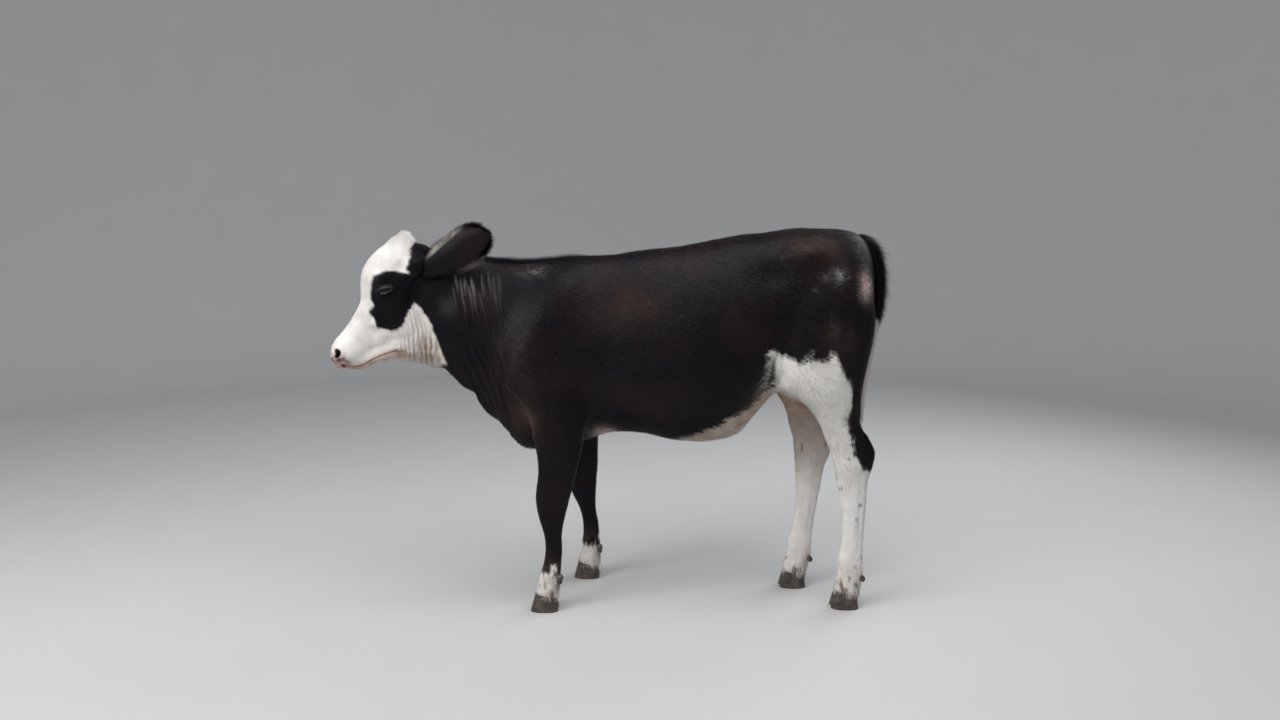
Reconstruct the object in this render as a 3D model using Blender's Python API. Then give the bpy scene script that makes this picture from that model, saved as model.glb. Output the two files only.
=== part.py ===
"""A young black cow with a white face, standing still: a life-size museum model.

The animal faces -X, its left side is towards -Y and its claws stand on Z = 0. The body is shaped
whole, as lofts and rounded masses that are fused into one skin, and is then parted with thin cuts
into trunk, neck, head and legs. Ears, eyes, tail, claws and dewclaws are closed solids of their own.
"""
import math

import bmesh
import bpy
import numpy as np
from mathutils import Matrix, Vector

# Driving dimensions, in metres
GAP = 0.0004  # clear space at a cut between two pieces
CLEARANCE = 0.0010  # clear space round an ear, eye, tail or dewclaw where it sits in the body
VOXEL = 0.0065  # grain of the fused body
BODY_FACES = 4600  # triangles of the whole body before it is parted
FORE_Y, FORE_Y_FAR = 0.138, 0.152  # midlines of the left and right front legs
HIND_Y, HIND_Y_FAR = 0.116, 0.116  # midlines of the left and right hind legs
FORE_LEAN, HIND_LEAN = 0.012, -0.044  # how far the right feet stand out of those midlines
FORE_STEP = 0.120  # how far the right front claw stands behind the left one
HIND_STEP = -0.138  # how far the right hind claw stands behind the left one
FORE_ROOT, HIND_ROOT = 0.66, 0.95  # heights at which that step fades out
HEAD_YAW = math.radians(20.0)  # the head is turned to the animal's left
FACE_SLOPE = math.radians(60.0)  # axis of the face above the horizontal
MUZZLE = Vector((-0.855, -0.120, 0.790))  # origin of the head's own axes
EYE_RADIUS = 0.0180
EYE = (0.264, -0.026, 0.0800)  # centre of an eye along, above and beside the face's axis
CORONET = 0.050  # height of the plane between leg and claws under the foot's centre
CORONET_TILT = 0.22  # that plane's fall per metre towards the heel
CORONET_TOE, CORONET_HEEL = 0.040, 0.038  # the coronet's reach before and behind the centre
CLAW_TOE, CLAW_HEEL = 0.050, 0.037  # the sole's reach before and behind the centre
CLAW_WIDTH, CLEFT = 0.040, 0.003  # width of a claw, and the space between two claws
CLAW_SIDES, CLAW_LEVELS = 16, (0.0, 0.12, 1.0)  # sides of a claw and heights of its rings
DEWCLAW_Z, DEWCLAW_OFF = 0.098, 0.017  # height of the dewclaws, and how far off the midline
DEWCLAW_RADII, DEWCLAW_LEAN = (0.011, 0.010, 0.014), -25.0  # half sizes, and lean in degrees
BLEND_ROUNDS = 45  # rounds of smoothing that melt the trunk's forms into each other

BLACK = (0.012, 0.010, 0.011)
WHITE = (0.72, 0.69, 0.66)
HORN = (0.060, 0.050, 0.042)
EYE_COLOUR = (0.010, 0.008, 0.007)

# Blocks that part the body: outlines of (x, z), and the span of a left leg's block along Y
LEG_CUTS = {
    "leg_front_left": ((-0.285, -0.1), (-0.03, -0.1), (-0.045, 0.600), (-0.285, 0.600)),
    "leg_front_right": ((-0.285, -0.1), (0.00, -0.1), (-0.030, 0.600), (-0.285, 0.600)),
    "leg_hind_left": ((0.50, -0.1), (1.00, -0.1), (1.00, 0.920), (0.50, 0.640)),
    "leg_hind_right": ((0.50, -0.1), (1.00, -0.1), (1.00, 0.920), (0.50, 0.640)),
}
LEG_SPAN = {"front": (0.086, 0.40), "hind": (0.030, 0.40)}
NECK_CUT = ((-1.20, 0.30), (-0.500, 0.30), (-0.250, 1.30), (-1.20, 1.30))
# the head's outline is measured from the muzzle, level and up
HEAD_CUT = ((-0.20, -0.20), (0.385, -0.20), (0.285, 0.60), (-0.20, 0.60))


def smooth_rows(rows, count):
    """Rows of numbers joined by cubic curves through them, spaced by the path's length."""
    rows = np.asarray(rows, float)
    at = np.concatenate([[0.0], np.cumsum(np.linalg.norm(np.diff(rows[:, :3], axis=0), axis=1))])
    slope = np.gradient(rows, at, axis=0)
    t = np.linspace(0.0, at[-1], count)
    k = np.clip(np.searchsorted(at, t, side="right") - 1, 0, len(at) - 2)
    w = (at[k + 1] - at[k])[:, None]
    s = (t - at[k])[:, None] / w
    value = (1 + 2 * s) * (1 - s) ** 2 * rows[k] + s * s * (3 - 2 * s) * rows[k + 1]
    return value + w * (s * (1 - s) ** 2 * slope[k] + s * s * (s - 1) * slope[k + 1])


def loft(rows, level=(0.0, 1.0, 0.0), along=None, cup=0.0, sides=36, count=48):
    """A closed tube through rows of (x, y, z, over, under, half width, over power, under power).

    Each ring is two half superellipses, square to the given direction or else to the path.
    'over' lies to the side of path x level: above a path that runs backwards, behind one that
    runs down. A cup bends the ring's edges to the under side, in parts of its half width.
    """
    r = smooth_rows(rows, count)
    centre = r[:, :3]
    if along is None:
        along = np.gradient(centre, axis=0)
    along = np.broadcast_to(np.asarray(along, float), centre.shape)
    along = along / np.linalg.norm(along, axis=1)[:, None]
    over = np.cross(along, level)
    over /= np.linalg.norm(over, axis=1)[:, None]
    side = np.cross(over, along)
    turn = np.linspace(0.0, 2 * math.pi, sides, endpoint=False)
    c, s = np.cos(turn), np.sin(turn)
    power = np.where(c >= 0, r[:, 6:7], r[:, 7:8])
    reach = np.where(c >= 0, r[:, 3:4], r[:, 4:5])
    b = np.sign(s) * np.abs(s) ** (2 / power) * r[:, 5:6]
    a = np.sign(c) * np.abs(c) ** (2 / power) * reach - cup * b**2 / r[:, 5:6]
    ring = centre[:, None] + a[..., None] * over[:, None] + b[..., None] * side[:, None]
    points = np.concatenate([ring.reshape(-1, 3), ring[[0, -1]].mean(1)])
    i, j = np.meshgrid(np.arange(count - 1), np.arange(sides), indexing="ij")
    k = (j + 1) % sides
    walls = np.stack([i * sides + j, i * sides + k, (i + 1) * sides + k, (i + 1) * sides + j], -1)
    j = np.arange(sides)
    k = (j + 1) % sides
    end = (count - 1) * sides
    first = np.stack([np.full(sides, count * sides), k, j], -1)
    last = np.stack([np.full(sides, count * sides + 1), j + end, k + end], -1)
    return points, walls.reshape(-1, 4).tolist() + first.tolist() + last.tolist()


def ball(centre, radii, turn=None, round_about=28, down=18):
    """A rounded mass: a sphere stretched to three radii, turned, and placed."""
    bm = bmesh.new()
    bmesh.ops.create_uvsphere(bm, u_segments=round_about, v_segments=down, radius=1.0)
    matrix = Matrix.Translation(centre) @ (turn or Matrix()) @ Matrix.Diagonal((*radii, 1.0))
    bm.transform(matrix)
    points = np.array([v.co for v in bm.verts])
    faces = [[v.index for v in f.verts] for f in bm.faces]
    bm.free()
    return points, faces


def head_turn():
    """Turns local axes (back along the face, to the left, off the face) into the head's place."""
    return Matrix.Rotation(HEAD_YAW, 4, "Z") @ Matrix.Rotation(-FACE_SLOPE, 4, "Y")


def on_head(along, off, left=0.0):
    """The place at a distance along the face from the muzzle, off its axis and to the left."""
    back = along * math.cos(FACE_SLOPE) - off * math.sin(FACE_SLOPE)
    up = along * math.sin(FACE_SLOPE) + off * math.cos(FACE_SLOPE)
    return level_on_head(back, up, left)


def level_on_head(back, up, left=0.0):
    """The place at a level distance behind the muzzle, above it and to the left."""
    x = MUZZLE.x + back * math.cos(HEAD_YAW) + left * math.sin(HEAD_YAW)
    y = MUZZLE.y + back * math.sin(HEAD_YAW) - left * math.cos(HEAD_YAW)
    return Vector((x, y, MUZZLE.z + up))


# ---------------------------------------------------------------- shapes of the body

# x, height of the widest level, top, bottom, half width, power above, power below
TRUNK = (
    (-0.410, 0.800, 0.930, 0.690, 0.070, 2.0, 2.0),
    (-0.365, 0.800, 1.050, 0.580, 0.104, 2.0, 1.9),
    (-0.300, 0.800, 1.100, 0.508, 0.128, 1.9, 1.8),
    (-0.240, 0.800, 1.108, 0.487, 0.140, 1.8, 1.8),
    (-0.160, 0.790, 1.117, 0.492, 0.149, 1.75, 1.9),
    (-0.080, 0.780, 1.121, 0.522, 0.158, 1.8, 2.0),
    (0.000, 0.770, 1.121, 0.546, 0.171, 1.9, 2.1),
    (0.090, 0.760, 1.132, 0.546, 0.189, 2.0, 2.1),
    (0.200, 0.750, 1.142, 0.524, 0.205, 2.0, 2.2),
    (0.320, 0.760, 1.164, 0.521, 0.212, 2.05, 2.2),
    (0.400, 0.790, 1.179, 0.543, 0.204, 2.1, 2.1),
    (0.460, 0.840, 1.184, 0.605, 0.190, 2.2, 2.0),
    (0.520, 0.900, 1.191, 0.674, 0.172, 2.3, 2.0),
    (0.580, 0.960, 1.200, 0.695, 0.168, 2.6, 2.0),
    (0.650, 0.980, 1.198, 0.705, 0.162, 2.6, 2.0),
    (0.720, 0.985, 1.196, 0.735, 0.148, 2.4, 2.0),
    (0.775, 0.985, 1.183, 0.785, 0.122, 2.2, 2.0),
    (0.812, 0.985, 1.150, 0.850, 0.088, 2.1, 2.0),
    (0.832, 0.990, 1.090, 0.910, 0.040, 2.0, 2.0),
)

# x, y, z, above, below, half width, power above, power below
NECK = (
    (-0.620, -0.040, 0.990, 0.150, 0.140, 0.052, 2.0, 2.0),
    (-0.560, -0.032, 0.965, 0.170, 0.185, 0.064, 2.0, 2.0),
    (-0.490, -0.020, 0.930, 0.195, 0.222, 0.076, 2.0, 1.8),
    (-0.420, -0.008, 0.890, 0.228, 0.262, 0.092, 1.9, 1.7),
    (-0.350, 0.000, 0.860, 0.250, 0.285, 0.112, 1.8, 1.7),
    (-0.270, 0.000, 0.840, 0.268, 0.290, 0.128, 1.8, 1.8),
    (-0.180, 0.000, 0.840, 0.270, 0.270, 0.135, 1.8, 2.0),
)

# along the face, axis off the face, outer, inner, half width, power outer, power inner
FACE = (
    (-0.014, -0.018, 0.010, 0.014, 0.022, 2.0, 2.0),
    (0.000, -0.018, 0.028, 0.032, 0.043, 2.3, 2.0),
    (0.025, -0.020, 0.046, 0.046, 0.054, 2.4, 2.0),
    (0.055, -0.025, 0.056, 0.056, 0.053, 2.3, 2.0),
    (0.085, -0.033, 0.058, 0.065, 0.048, 2.2, 2.0),
    (0.120, -0.042, 0.062, 0.075, 0.049, 2.2, 2.0),
    (0.160, -0.050, 0.068, 0.080, 0.056, 2.3, 2.0),
    (0.200, -0.050, 0.070, 0.085, 0.068, 2.5, 2.0),
    (0.240, -0.045, 0.086, 0.090, 0.081, 2.6, 2.0),
    (0.280, -0.036, 0.094, 0.095, 0.087, 2.6, 2.0),
    (0.320, -0.036, 0.097, 0.095, 0.084, 2.5, 2.0),
    (0.360, -0.040, 0.093, 0.090, 0.078, 2.3, 2.0),
    (0.400, -0.045, 0.082, 0.085, 0.076, 2.1, 2.0),
    (0.440, -0.050, 0.078, 0.075, 0.066, 2.0, 2.0),
    (0.468, -0.052, 0.060, 0.050, 0.044, 2.0, 2.0),
    (0.478, -0.052, 0.020, 0.018, 0.012, 2.0, 2.0),
)

# level distance behind the muzzle, height, above, below, half width, power above, power below
JAW = (
    (0.036, -0.008, 0.008, 0.008, 0.012, 2.0, 2.0),
    (0.050, -0.008, 0.020, 0.018, 0.030, 2.2, 2.0),
    (0.080, -0.006, 0.030, 0.027, 0.038, 2.2, 2.0),
    (0.115, 0.006, 0.045, 0.025, 0.041, 2.2, 2.0),
    (0.150, 0.026, 0.065, 0.036, 0.046, 2.2, 2.0),
    (0.190, 0.055, 0.085, 0.065, 0.053, 2.2, 1.8),
    (0.230, 0.085, 0.110, 0.098, 0.061, 2.2, 1.7),
    (0.275, 0.115, 0.120, 0.140, 0.067, 2.2, 1.6),
    (0.320, 0.140, 0.120, 0.180, 0.068, 2.1, 1.6),
    (0.365, 0.155, 0.120, 0.188, 0.064, 2.0, 1.6),
    (0.410, 0.160, 0.120, 0.172, 0.056, 2.0, 1.7),
)

# z, x, y beside the leg's midline, behind, before, half width
HIND_LEG = (
    (1.130, 0.680, -0.045, 0.090, 0.080, 0.055),
    (1.060, 0.680, -0.022, 0.120, 0.110, 0.068),
    (0.980, 0.672, -0.006, 0.145, 0.135, 0.078),
    (0.900, 0.666, 0.000, 0.152, 0.150, 0.082),
    (0.820, 0.660, 0.004, 0.145, 0.150, 0.080),
    (0.750, 0.665, 0.008, 0.125, 0.138, 0.073),
    (0.690, 0.680, 0.010, 0.101, 0.115, 0.062),
    (0.640, 0.700, 0.010, 0.079, 0.088, 0.050),
    (0.590, 0.720, 0.008, 0.066, 0.074, 0.041),
    (0.550, 0.736, 0.006, 0.070, 0.074, 0.037),
    (0.505, 0.750, 0.004, 0.076, 0.068, 0.036),
    (0.460, 0.755, 0.002, 0.066, 0.061, 0.036),
    (0.410, 0.757, 0.000, 0.052, 0.053, 0.031),
    (0.350, 0.762, 0.000, 0.044, 0.045, 0.027),
    (0.270, 0.764, 0.000, 0.038, 0.039, 0.025),
    (0.200, 0.761, 0.000, 0.038, 0.040, 0.026),
    (0.155, 0.757, 0.000, 0.043, 0.045, 0.031),
    (0.120, 0.757, 0.000, 0.045, 0.043, 0.032),
    (0.090, 0.752, 0.000, 0.045, 0.045, 0.031),
    (0.055, 0.747, 0.000, 0.042, 0.044, 0.036),
    (0.025, 0.743, 0.000, 0.041, 0.045, 0.038),
)

FRONT_LEG = (
    (0.780, -0.205, -0.020, 0.095, 0.095, 0.050),
    (0.700, -0.198, -0.008, 0.118, 0.108, 0.055),
    (0.630, -0.176, -0.002, 0.105, 0.090, 0.052),
    (0.570, -0.169, 0.000, 0.091, 0.076, 0.047),
    (0.510, -0.165, 0.000, 0.077, 0.070, 0.043),
    (0.450, -0.166, 0.000, 0.063, 0.064, 0.039),
    (0.400, -0.175, 0.000, 0.060, 0.060, 0.037),
    (0.365, -0.182, 0.000, 0.057, 0.057, 0.038),
    (0.330, -0.186, 0.000, 0.052, 0.050, 0.036),
    (0.290, -0.186, 0.000, 0.042, 0.042, 0.031),
    (0.245, -0.183, 0.000, 0.031, 0.032, 0.026),
    (0.190, -0.182, 0.000, 0.030, 0.029, 0.025),
    (0.145, -0.187, 0.000, 0.032, 0.031, 0.028),
    (0.110, -0.193, 0.000, 0.036, 0.036, 0.031),
    (0.080, -0.198, 0.000, 0.038, 0.038, 0.030),
    (0.050, -0.205, 0.000, 0.039, 0.041, 0.035),
    (0.025, -0.211, 0.000, 0.040, 0.043, 0.037),
)

# x, y, z, behind, before, half width of the shoulder blade and point of the shoulder
SHOULDER = (
    (-0.105, 0.062, 1.068, 0.045, 0.045, 0.020),
    (-0.125, 0.084, 1.025, 0.080, 0.065, 0.033),
    (-0.165, 0.103, 0.950, 0.100, 0.082, 0.042),
    (-0.215, 0.115, 0.860, 0.104, 0.085, 0.048),
    (-0.262, 0.120, 0.780, 0.092, 0.078, 0.050),
    (-0.292, 0.116, 0.715, 0.060, 0.058, 0.044),
    (-0.300, 0.110, 0.680, 0.030, 0.030, 0.026),
)

# x, y, z, radius along x, radius across
TAIL = (
    (0.762, 0.000, 1.164, 0.010, 0.020),
    (0.788, 0.000, 1.160, 0.022, 0.030),
    (0.818, 0.000, 1.134, 0.022, 0.027),
    (0.840, 0.001, 1.085, 0.019, 0.023),
    (0.848, 0.003, 1.010, 0.017, 0.020),
    (0.846, 0.006, 0.940, 0.015, 0.018),
    (0.840, 0.012, 0.870, 0.014, 0.016),
    (0.830, 0.020, 0.800, 0.013, 0.015),
    (0.818, 0.027, 0.730, 0.013, 0.015),
    (0.806, 0.032, 0.660, 0.015, 0.016),
    (0.797, 0.036, 0.590, 0.019, 0.021),
    (0.791, 0.038, 0.520, 0.022, 0.025),
    (0.789, 0.038, 0.460, 0.019, 0.021),
    (0.790, 0.037, 0.415, 0.011, 0.012),
    (0.791, 0.036, 0.395, 0.003, 0.003),
)
SWITCH_TOP = 0.66  # height at which the tail's long hair begins

# level distance behind the muzzle, distance off the head's middle, height, half width, thickness
EAR = (
    (0.262, 0.062, 0.262, 0.022, 0.013),
    (0.288, 0.094, 0.281, 0.036, 0.012),
    (0.318, 0.126, 0.301, 0.048, 0.010),
    (0.352, 0.154, 0.327, 0.057, 0.008),
    (0.384, 0.177, 0.351, 0.057, 0.007),
    (0.411, 0.194, 0.371, 0.047, 0.006),
    (0.434, 0.206, 0.386, 0.029, 0.005),
    (0.449, 0.213, 0.394, 0.009, 0.003),
)
EAR_CUP = 0.30  # how far the edges of an ear roll towards its hollow side
EAR_POSE = {"left": (0.0, 1.0), "right": (0.16, 0.90)}  # droop, and part of the sideways reach


def step_back(z, step, root):
    """The part of a foot's shift that a ring at height z takes, fading out at the leg's root."""
    return step * max(0.0, 1.0 - (z / root) ** 1.5)


def leg_rows(table, y, sign, step, lean, root):
    """A leg's rows, from the top down, on the side given by sign (-1 left, 1 right)."""
    rows = []
    for z, x, out, behind, before, half in table:
        x += step_back(z, step, root)
        out += y + step_back(z, lean, root)
        rows.append((x, sign * out, z, behind, before, half, 2.2, 2.2))
    return rows


def trunk_rows():
    """The trunk's rows, front to back."""
    return [(x, 0.0, z, top - z, z - low, half, a, b) for x, z, top, low, half, a, b in TRUNK]


def face_rows():
    """The face's rows, from the muzzle to the poll."""
    return [(*on_head(s, u), out, inner, half, a, b) for s, u, out, inner, half, a, b in FACE]


def jaw_rows():
    """The lower jaw's rows, from the chin back to the throat."""
    return [(*level_on_head(f, h), up, low, half, a, b) for f, h, up, low, half, a, b in JAW]


def shoulder_rows(sign):
    """The rows of a shoulder, from the top of its blade to its point."""
    return [(x, sign * y, z, back, fore, half, 2.0, 2.0) for x, y, z, back, fore, half in SHOULDER]


def tail_shape():
    """The tail, from its root down."""
    rows = [(x, y, z, a, a, b, 2.0, 2.0) for x, y, z, a, b in TAIL]
    return loft(rows, sides=10, count=24)


def ear_rows(side):
    """An ear's rows, from its root to its tip."""
    drop, spread = EAR_POSE[side]
    left = 1.0 if side == "left" else -1.0
    root = EAR[0]
    rows = []
    for back, off, up, half, thick in EAR:
        off = root[1] + spread * (off - root[1])
        up -= drop * (back - root[0] + off - root[1])
        place = level_on_head(back, up, left * off)
        rows.append((*place, thick / 2, thick / 2, half, 2.0, 2.0))
    return rows


def ear_shape(side):
    """An ear as a cupped leaf, its hollow side towards the neck."""
    rows = ear_rows(side)
    left = 1.0 if side == "left" else -1.0
    along = np.subtract(rows[-1][:3], rows[0][:3])
    level = head_turn().to_3x3() @ Vector((0.41, 0.10 * left, 0.91))
    return loft(rows, level * left, along, EAR_CUP, sides=12, count=11)


def head_masses():
    """Muzzle wings, upper lip, eye sockets, cheeks and poll, each a rounded mass."""
    turn = head_turn()
    masses = [
        ball(on_head(0.022, -0.012), (0.034, 0.050, 0.036), turn),
        ball(on_head(0.030, -0.046), (0.036, 0.046, 0.030), turn),
        ball(on_head(0.440, -0.008), (0.036, 0.042, 0.036), turn),
        ball(on_head(0.320, 0.000), (0.080, 0.058, 0.060), turn),
    ]
    for left in (-1.0, 1.0):
        masses += [
            ball(on_head(0.026, -0.002, 0.026 * left), (0.026, 0.024, 0.026), turn),
            ball(on_head(0.268, -0.024, 0.056 * left), (0.046, 0.036, 0.042), turn),
            ball(on_head(0.292, 0.000, 0.058 * left), (0.036, 0.032, 0.028), turn),
            ball(on_head(0.222, -0.120, 0.034 * left), (0.084, 0.038, 0.080), turn),
            ball(on_head(0.150, -0.085, 0.030 * left), (0.056, 0.024, 0.044), turn),
            ball(on_head(0.190, -0.050, 0.038 * left), (0.060, 0.026, 0.036), turn),
            ball(on_head(0.375, -0.068, 0.060 * left), (0.044, 0.036, 0.040), turn),
        ]
    return masses


def trunk_masses():
    """Hip bones, pin bones, thurls, elbows, stifles and the navel fold."""
    masses = [ball((0.315, 0.0, 0.545), (0.075, 0.034, 0.026))]
    for side in (-1.0, 1.0):
        masses += [
            ball((0.590, 0.104 * side, 1.105), (0.085, 0.062, 0.062)),
            ball((0.778, 0.060 * side, 1.040), (0.046, 0.040, 0.072)),
            ball((0.700, 0.100 * side, 0.985), (0.110, 0.066, 0.110)),
            ball((-0.165, 0.108 * side, 0.715), (0.118, 0.052, 0.095)),
            ball((0.565, 0.100 * side, 0.750), (0.060, 0.066, 0.085)),
        ]
    return masses


def all_legs():
    """Rows of the four legs by name."""
    return {
        "leg_front_left": leg_rows(FRONT_LEG, FORE_Y, -1, 0.0, 0.0, FORE_ROOT),
        "leg_front_right": leg_rows(FRONT_LEG, FORE_Y_FAR, 1, FORE_STEP, FORE_LEAN, FORE_ROOT),
        "leg_hind_left": leg_rows(HIND_LEG, HIND_Y, -1, 0.0, 0.0, HIND_ROOT),
        "leg_hind_right": leg_rows(HIND_LEG, HIND_Y_FAR, 1, HIND_STEP, HIND_LEAN, HIND_ROOT),
    }


def body_shapes():
    """All the forms that are fused into the body."""
    across = (-math.sin(HEAD_YAW), math.cos(HEAD_YAW), 0.0)
    up_face = head_turn().to_3x3() @ Vector((1.0, 0.0, 0.0))
    back = (math.cos(HEAD_YAW), math.sin(HEAD_YAW), 0.0)
    shapes = [
        loft(trunk_rows(), along=(1.0, 0.0, 0.0), sides=48, count=90),
        loft(NECK, along=(1.0, 0.0, 0.0)),
        loft(face_rows(), across, up_face, count=60),
        loft(jaw_rows(), across, back),
    ]
    shapes += [loft(shoulder_rows(sign)) for sign in (-1, 1)]
    shapes += [loft(rows, along=(0.0, 0.0, -1.0), count=90) for rows in all_legs().values()]
    return shapes + head_masses() + trunk_masses()


# ---------------------------------------------------------------- meshes and cuts


def make_object(name, points, faces):
    """A new object from points and faces, its faces pointing out."""
    mesh = bpy.data.meshes.new(name)
    mesh.from_pydata(np.asarray(points).tolist(), [], faces)
    bm = bmesh.new()
    bm.from_mesh(mesh)
    bmesh.ops.recalc_face_normals(bm, faces=bm.faces)
    bm.to_mesh(mesh)
    bm.free()
    obj = bpy.data.objects.new(name, mesh)
    bpy.context.scene.collection.objects.link(obj)
    return obj


def joined(shapes):
    """Several shapes' points and faces as one list of each."""
    points, faces, start = [], [], 0
    for some, loops in shapes:
        points.append(some)
        faces += [[start + k for k in loop] for loop in loops]
        start += len(some)
    return np.concatenate(points), faces


def apply_modifiers(obj):
    """Replaces an object's mesh with what its modifiers make of it."""
    graph = bpy.context.evaluated_depsgraph_get()
    mesh = bpy.data.meshes.new_from_object(obj.evaluated_get(graph))
    obj.modifiers.clear()
    old = obj.data
    obj.data = mesh
    bpy.data.meshes.remove(old)


def mesh_points(mesh):
    """A mesh's points as one array."""
    points = np.empty(len(mesh.vertices) * 3, np.float32)
    mesh.vertices.foreach_get("co", points)
    return points.reshape(-1, 3).astype(float)


def relax(points, edges, rounds, push=0.5, pull=-0.515):
    """Moves points towards their neighbours' mean by push, then by pull, round by round."""
    ends = np.concatenate([edges, edges[:, ::-1]])
    count = np.bincount(ends[:, 0], minlength=len(points))[:, None]
    for k in range(2 * rounds):
        total = [np.bincount(ends[:, 0], points[ends[:, 1], i], len(points)) for i in range(3)]
        step = push if k % 2 == 0 else pull
        points = points + step * (np.stack(total, 1) / count - points)
    return points


def ramp(value, low, high):
    """0 below low, 1 above high, and a smooth rise between them."""
    t = np.clip((value - low) / (high - low), 0.0, 1.0)
    return t * t * (3 - 2 * t)


def press(points, normals, centre, radii, depth, turn=None):
    """Pushes points in along their normals by a rounded dent of the given radii."""
    away = points - np.array(centre)
    if turn is not None:
        away = away @ np.array(turn.to_3x3())
    fall = np.exp(-((away / np.array(radii)) ** 2).sum(1))
    return points - normals * (depth * fall)[:, None]


def shape_hollows(points, normals):
    """Flank hollows, the girth behind the shoulders, temples and nostrils."""
    turn = head_turn()
    for side in (-1.0, 1.0):
        flank = (0.490, 0.165 * side, 1.060)
        points = press(points, normals, flank, (0.070, 0.10, 0.050), 0.014)
        girth = (-0.020, 0.150 * side, 0.700)
        points = press(points, normals, girth, (0.040, 0.10, 0.140), 0.008)
        nostril = on_head(0.018, 0.004, 0.034 * side)
        points = press(points, normals, nostril, (0.007, 0.010, 0.011), 0.010, turn)
        temple = on_head(0.345, -0.030, 0.088 * side)
        points = press(points, normals, temple, (0.022, 0.03, 0.020), 0.006, turn)
    return points


def set_points(mesh, points):
    """Puts an array of points into a mesh."""
    mesh.vertices.foreach_set("co", points.astype(np.float32).ravel())
    mesh.update()


def make_body():
    """The fused body: forms remeshed, blended, hollowed and thinned to few faces."""
    body = make_object("body", *joined(body_shapes()))
    fuse = body.modifiers.new("fuse", "REMESH")
    fuse.mode = "VOXEL"
    fuse.voxel_size = VOXEL
    apply_modifiers(body)
    mesh = body.data
    edges = np.array([e.vertices[:] for e in mesh.edges])
    points = relax(mesh_points(mesh), edges, 8)
    blended = relax(points, edges, BLEND_ROUNDS, 0.5, 0.0)
    trunk = ramp(points[:, 0], -0.46, -0.36) * ramp(points[:, 2], 0.55, 0.70)
    points += trunk[:, None] * (blended - points)
    set_points(mesh, points)
    normals = np.array([v.normal[:] for v in mesh.vertices])
    set_points(mesh, shape_hollows(points, normals))
    thin = body.modifiers.new("thin", "DECIMATE")
    thin.ratio = BODY_FACES / (2 * len(mesh.polygons))
    thin.use_collapse_triangulate = True
    apply_modifiers(body)
    return body


def boolean(obj, tool, operation):
    """Cuts or keeps what the tool covers, and removes the tool."""
    cut = obj.modifiers.new("cut", "BOOLEAN")
    cut.operation = operation
    cut.solver = "EXACT"
    cut.object = tool
    apply_modifiers(obj)
    bpy.data.objects.remove(tool)


def clear_round(body, obj):
    """Cuts an object's form out of the body with a clearance all round it."""
    tool = obj.copy()
    tool.data = obj.data.copy()
    bpy.context.scene.collection.objects.link(tool)
    normals = np.array([v.normal[:] for v in tool.data.vertices])
    set_points(tool.data, mesh_points(tool.data) + CLEARANCE * normals)
    boolean(body, tool, "DIFFERENCE")


def prism(outline, low, high, turn=None, grow=0.0):
    """A block: a convex outline of (x, z), its edges moved out by grow, drawn along Y."""
    ring = np.array(outline, float)
    edge = np.roll(ring, -1, axis=0) - ring
    edge /= np.linalg.norm(edge, axis=1)[:, None]
    area = np.sum(ring[:, 0] * np.roll(ring[:, 1], -1) - np.roll(ring[:, 0], -1) * ring[:, 1])
    out = np.stack([edge[:, 1], -edge[:, 0]], 1) * np.sign(area)
    before = np.roll(out, 1, axis=0)
    ring = ring + grow * (out + before) / (1 + (out * before).sum(1))[:, None]
    n = len(ring)
    sides = [(low - grow, range(n)), (high + grow, range(n))]
    points = [Vector((ring[k, 0], y, ring[k, 1])) for y, some in sides for k in some]
    points = [(turn @ p if turn else p)[:] for p in points]
    faces = [list(range(n)), list(range(2 * n - 1, n - 1, -1))]
    faces += [[k, (k + 1) % n, n + (k + 1) % n, n + k] for k in range(n)]
    return make_object("tool", points, faces)


def part_off(body, name, outline, low, high, turn=None):
    """Takes what lies in a block off the body as a piece of its own, leaving a thin gap."""
    piece = body.copy()
    piece.data = body.data.copy()
    piece.name = name
    bpy.context.scene.collection.objects.link(piece)
    boolean(piece, prism(outline, low, high, turn), "INTERSECT")
    boolean(body, prism(outline, low, high, turn, GAP), "DIFFERENCE")
    return piece


def claw(name, x, y, outward, top):
    """One claw: flat below, its wall leaning back to the coronet, flat where it meets the fellow.

    Each ring is a rounded outline, longer in the toe, that shrinks towards the top; 'top' gives
    the height of the coronet's plane at a distance behind the foot's centre.
    """
    turn = np.linspace(0.0, 2 * math.pi, CLAW_SIDES, endpoint=False)
    c, s = np.cos(turn), np.sin(turn)
    rings = []
    for t in CLAW_LEVELS:
        toe = CLAW_TOE + t * (CORONET_TOE - CLAW_TOE)
        heel = CLAW_HEEL + t * (CORONET_HEEL - CLAW_HEEL)
        width = CLAW_WIDTH * (1 - 0.10 * t) * (1 - 0.10 * (t == 0.0))
        back = np.sign(c) * np.abs(c) ** (2 / 2.4) * np.where(c > 0, heel, toe)
        side = np.where(s > 0, width * 0.62, width * 0.38) * np.sign(s) * np.abs(s) ** (2 / 2.6)
        side = np.maximum(side, -width * 0.30)
        height = t * top(back)
        middle = CLEFT / 2 + width * 0.30
        rings.append(np.stack([x + back, y + outward * (middle + side), height], 1))
    n = CLAW_SIDES
    faces = [list(range(n))[::-1], list(range((len(rings) - 1) * n, len(rings) * n))]
    for k in range(len(rings) - 1):
        faces += [[k * n + j, k * n + (j + 1) % n, (k + 1) * n + (j + 1) % n, (k + 1) * n + j]
                  for j in range(n)]
    return make_object(name, np.concatenate(rings), faces)


def make_material(name, colour, roughness, metallic=0.0):
    """A Principled material."""
    material = bpy.data.materials.new(name)
    material.use_nodes = True
    shader = material.node_tree.nodes["Principled BSDF"]
    shader.inputs["Base Color"].default_value = (*colour, 1.0)
    shader.inputs["Roughness"].default_value = roughness
    shader.inputs["Metallic"].default_value = metallic
    return material


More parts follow.
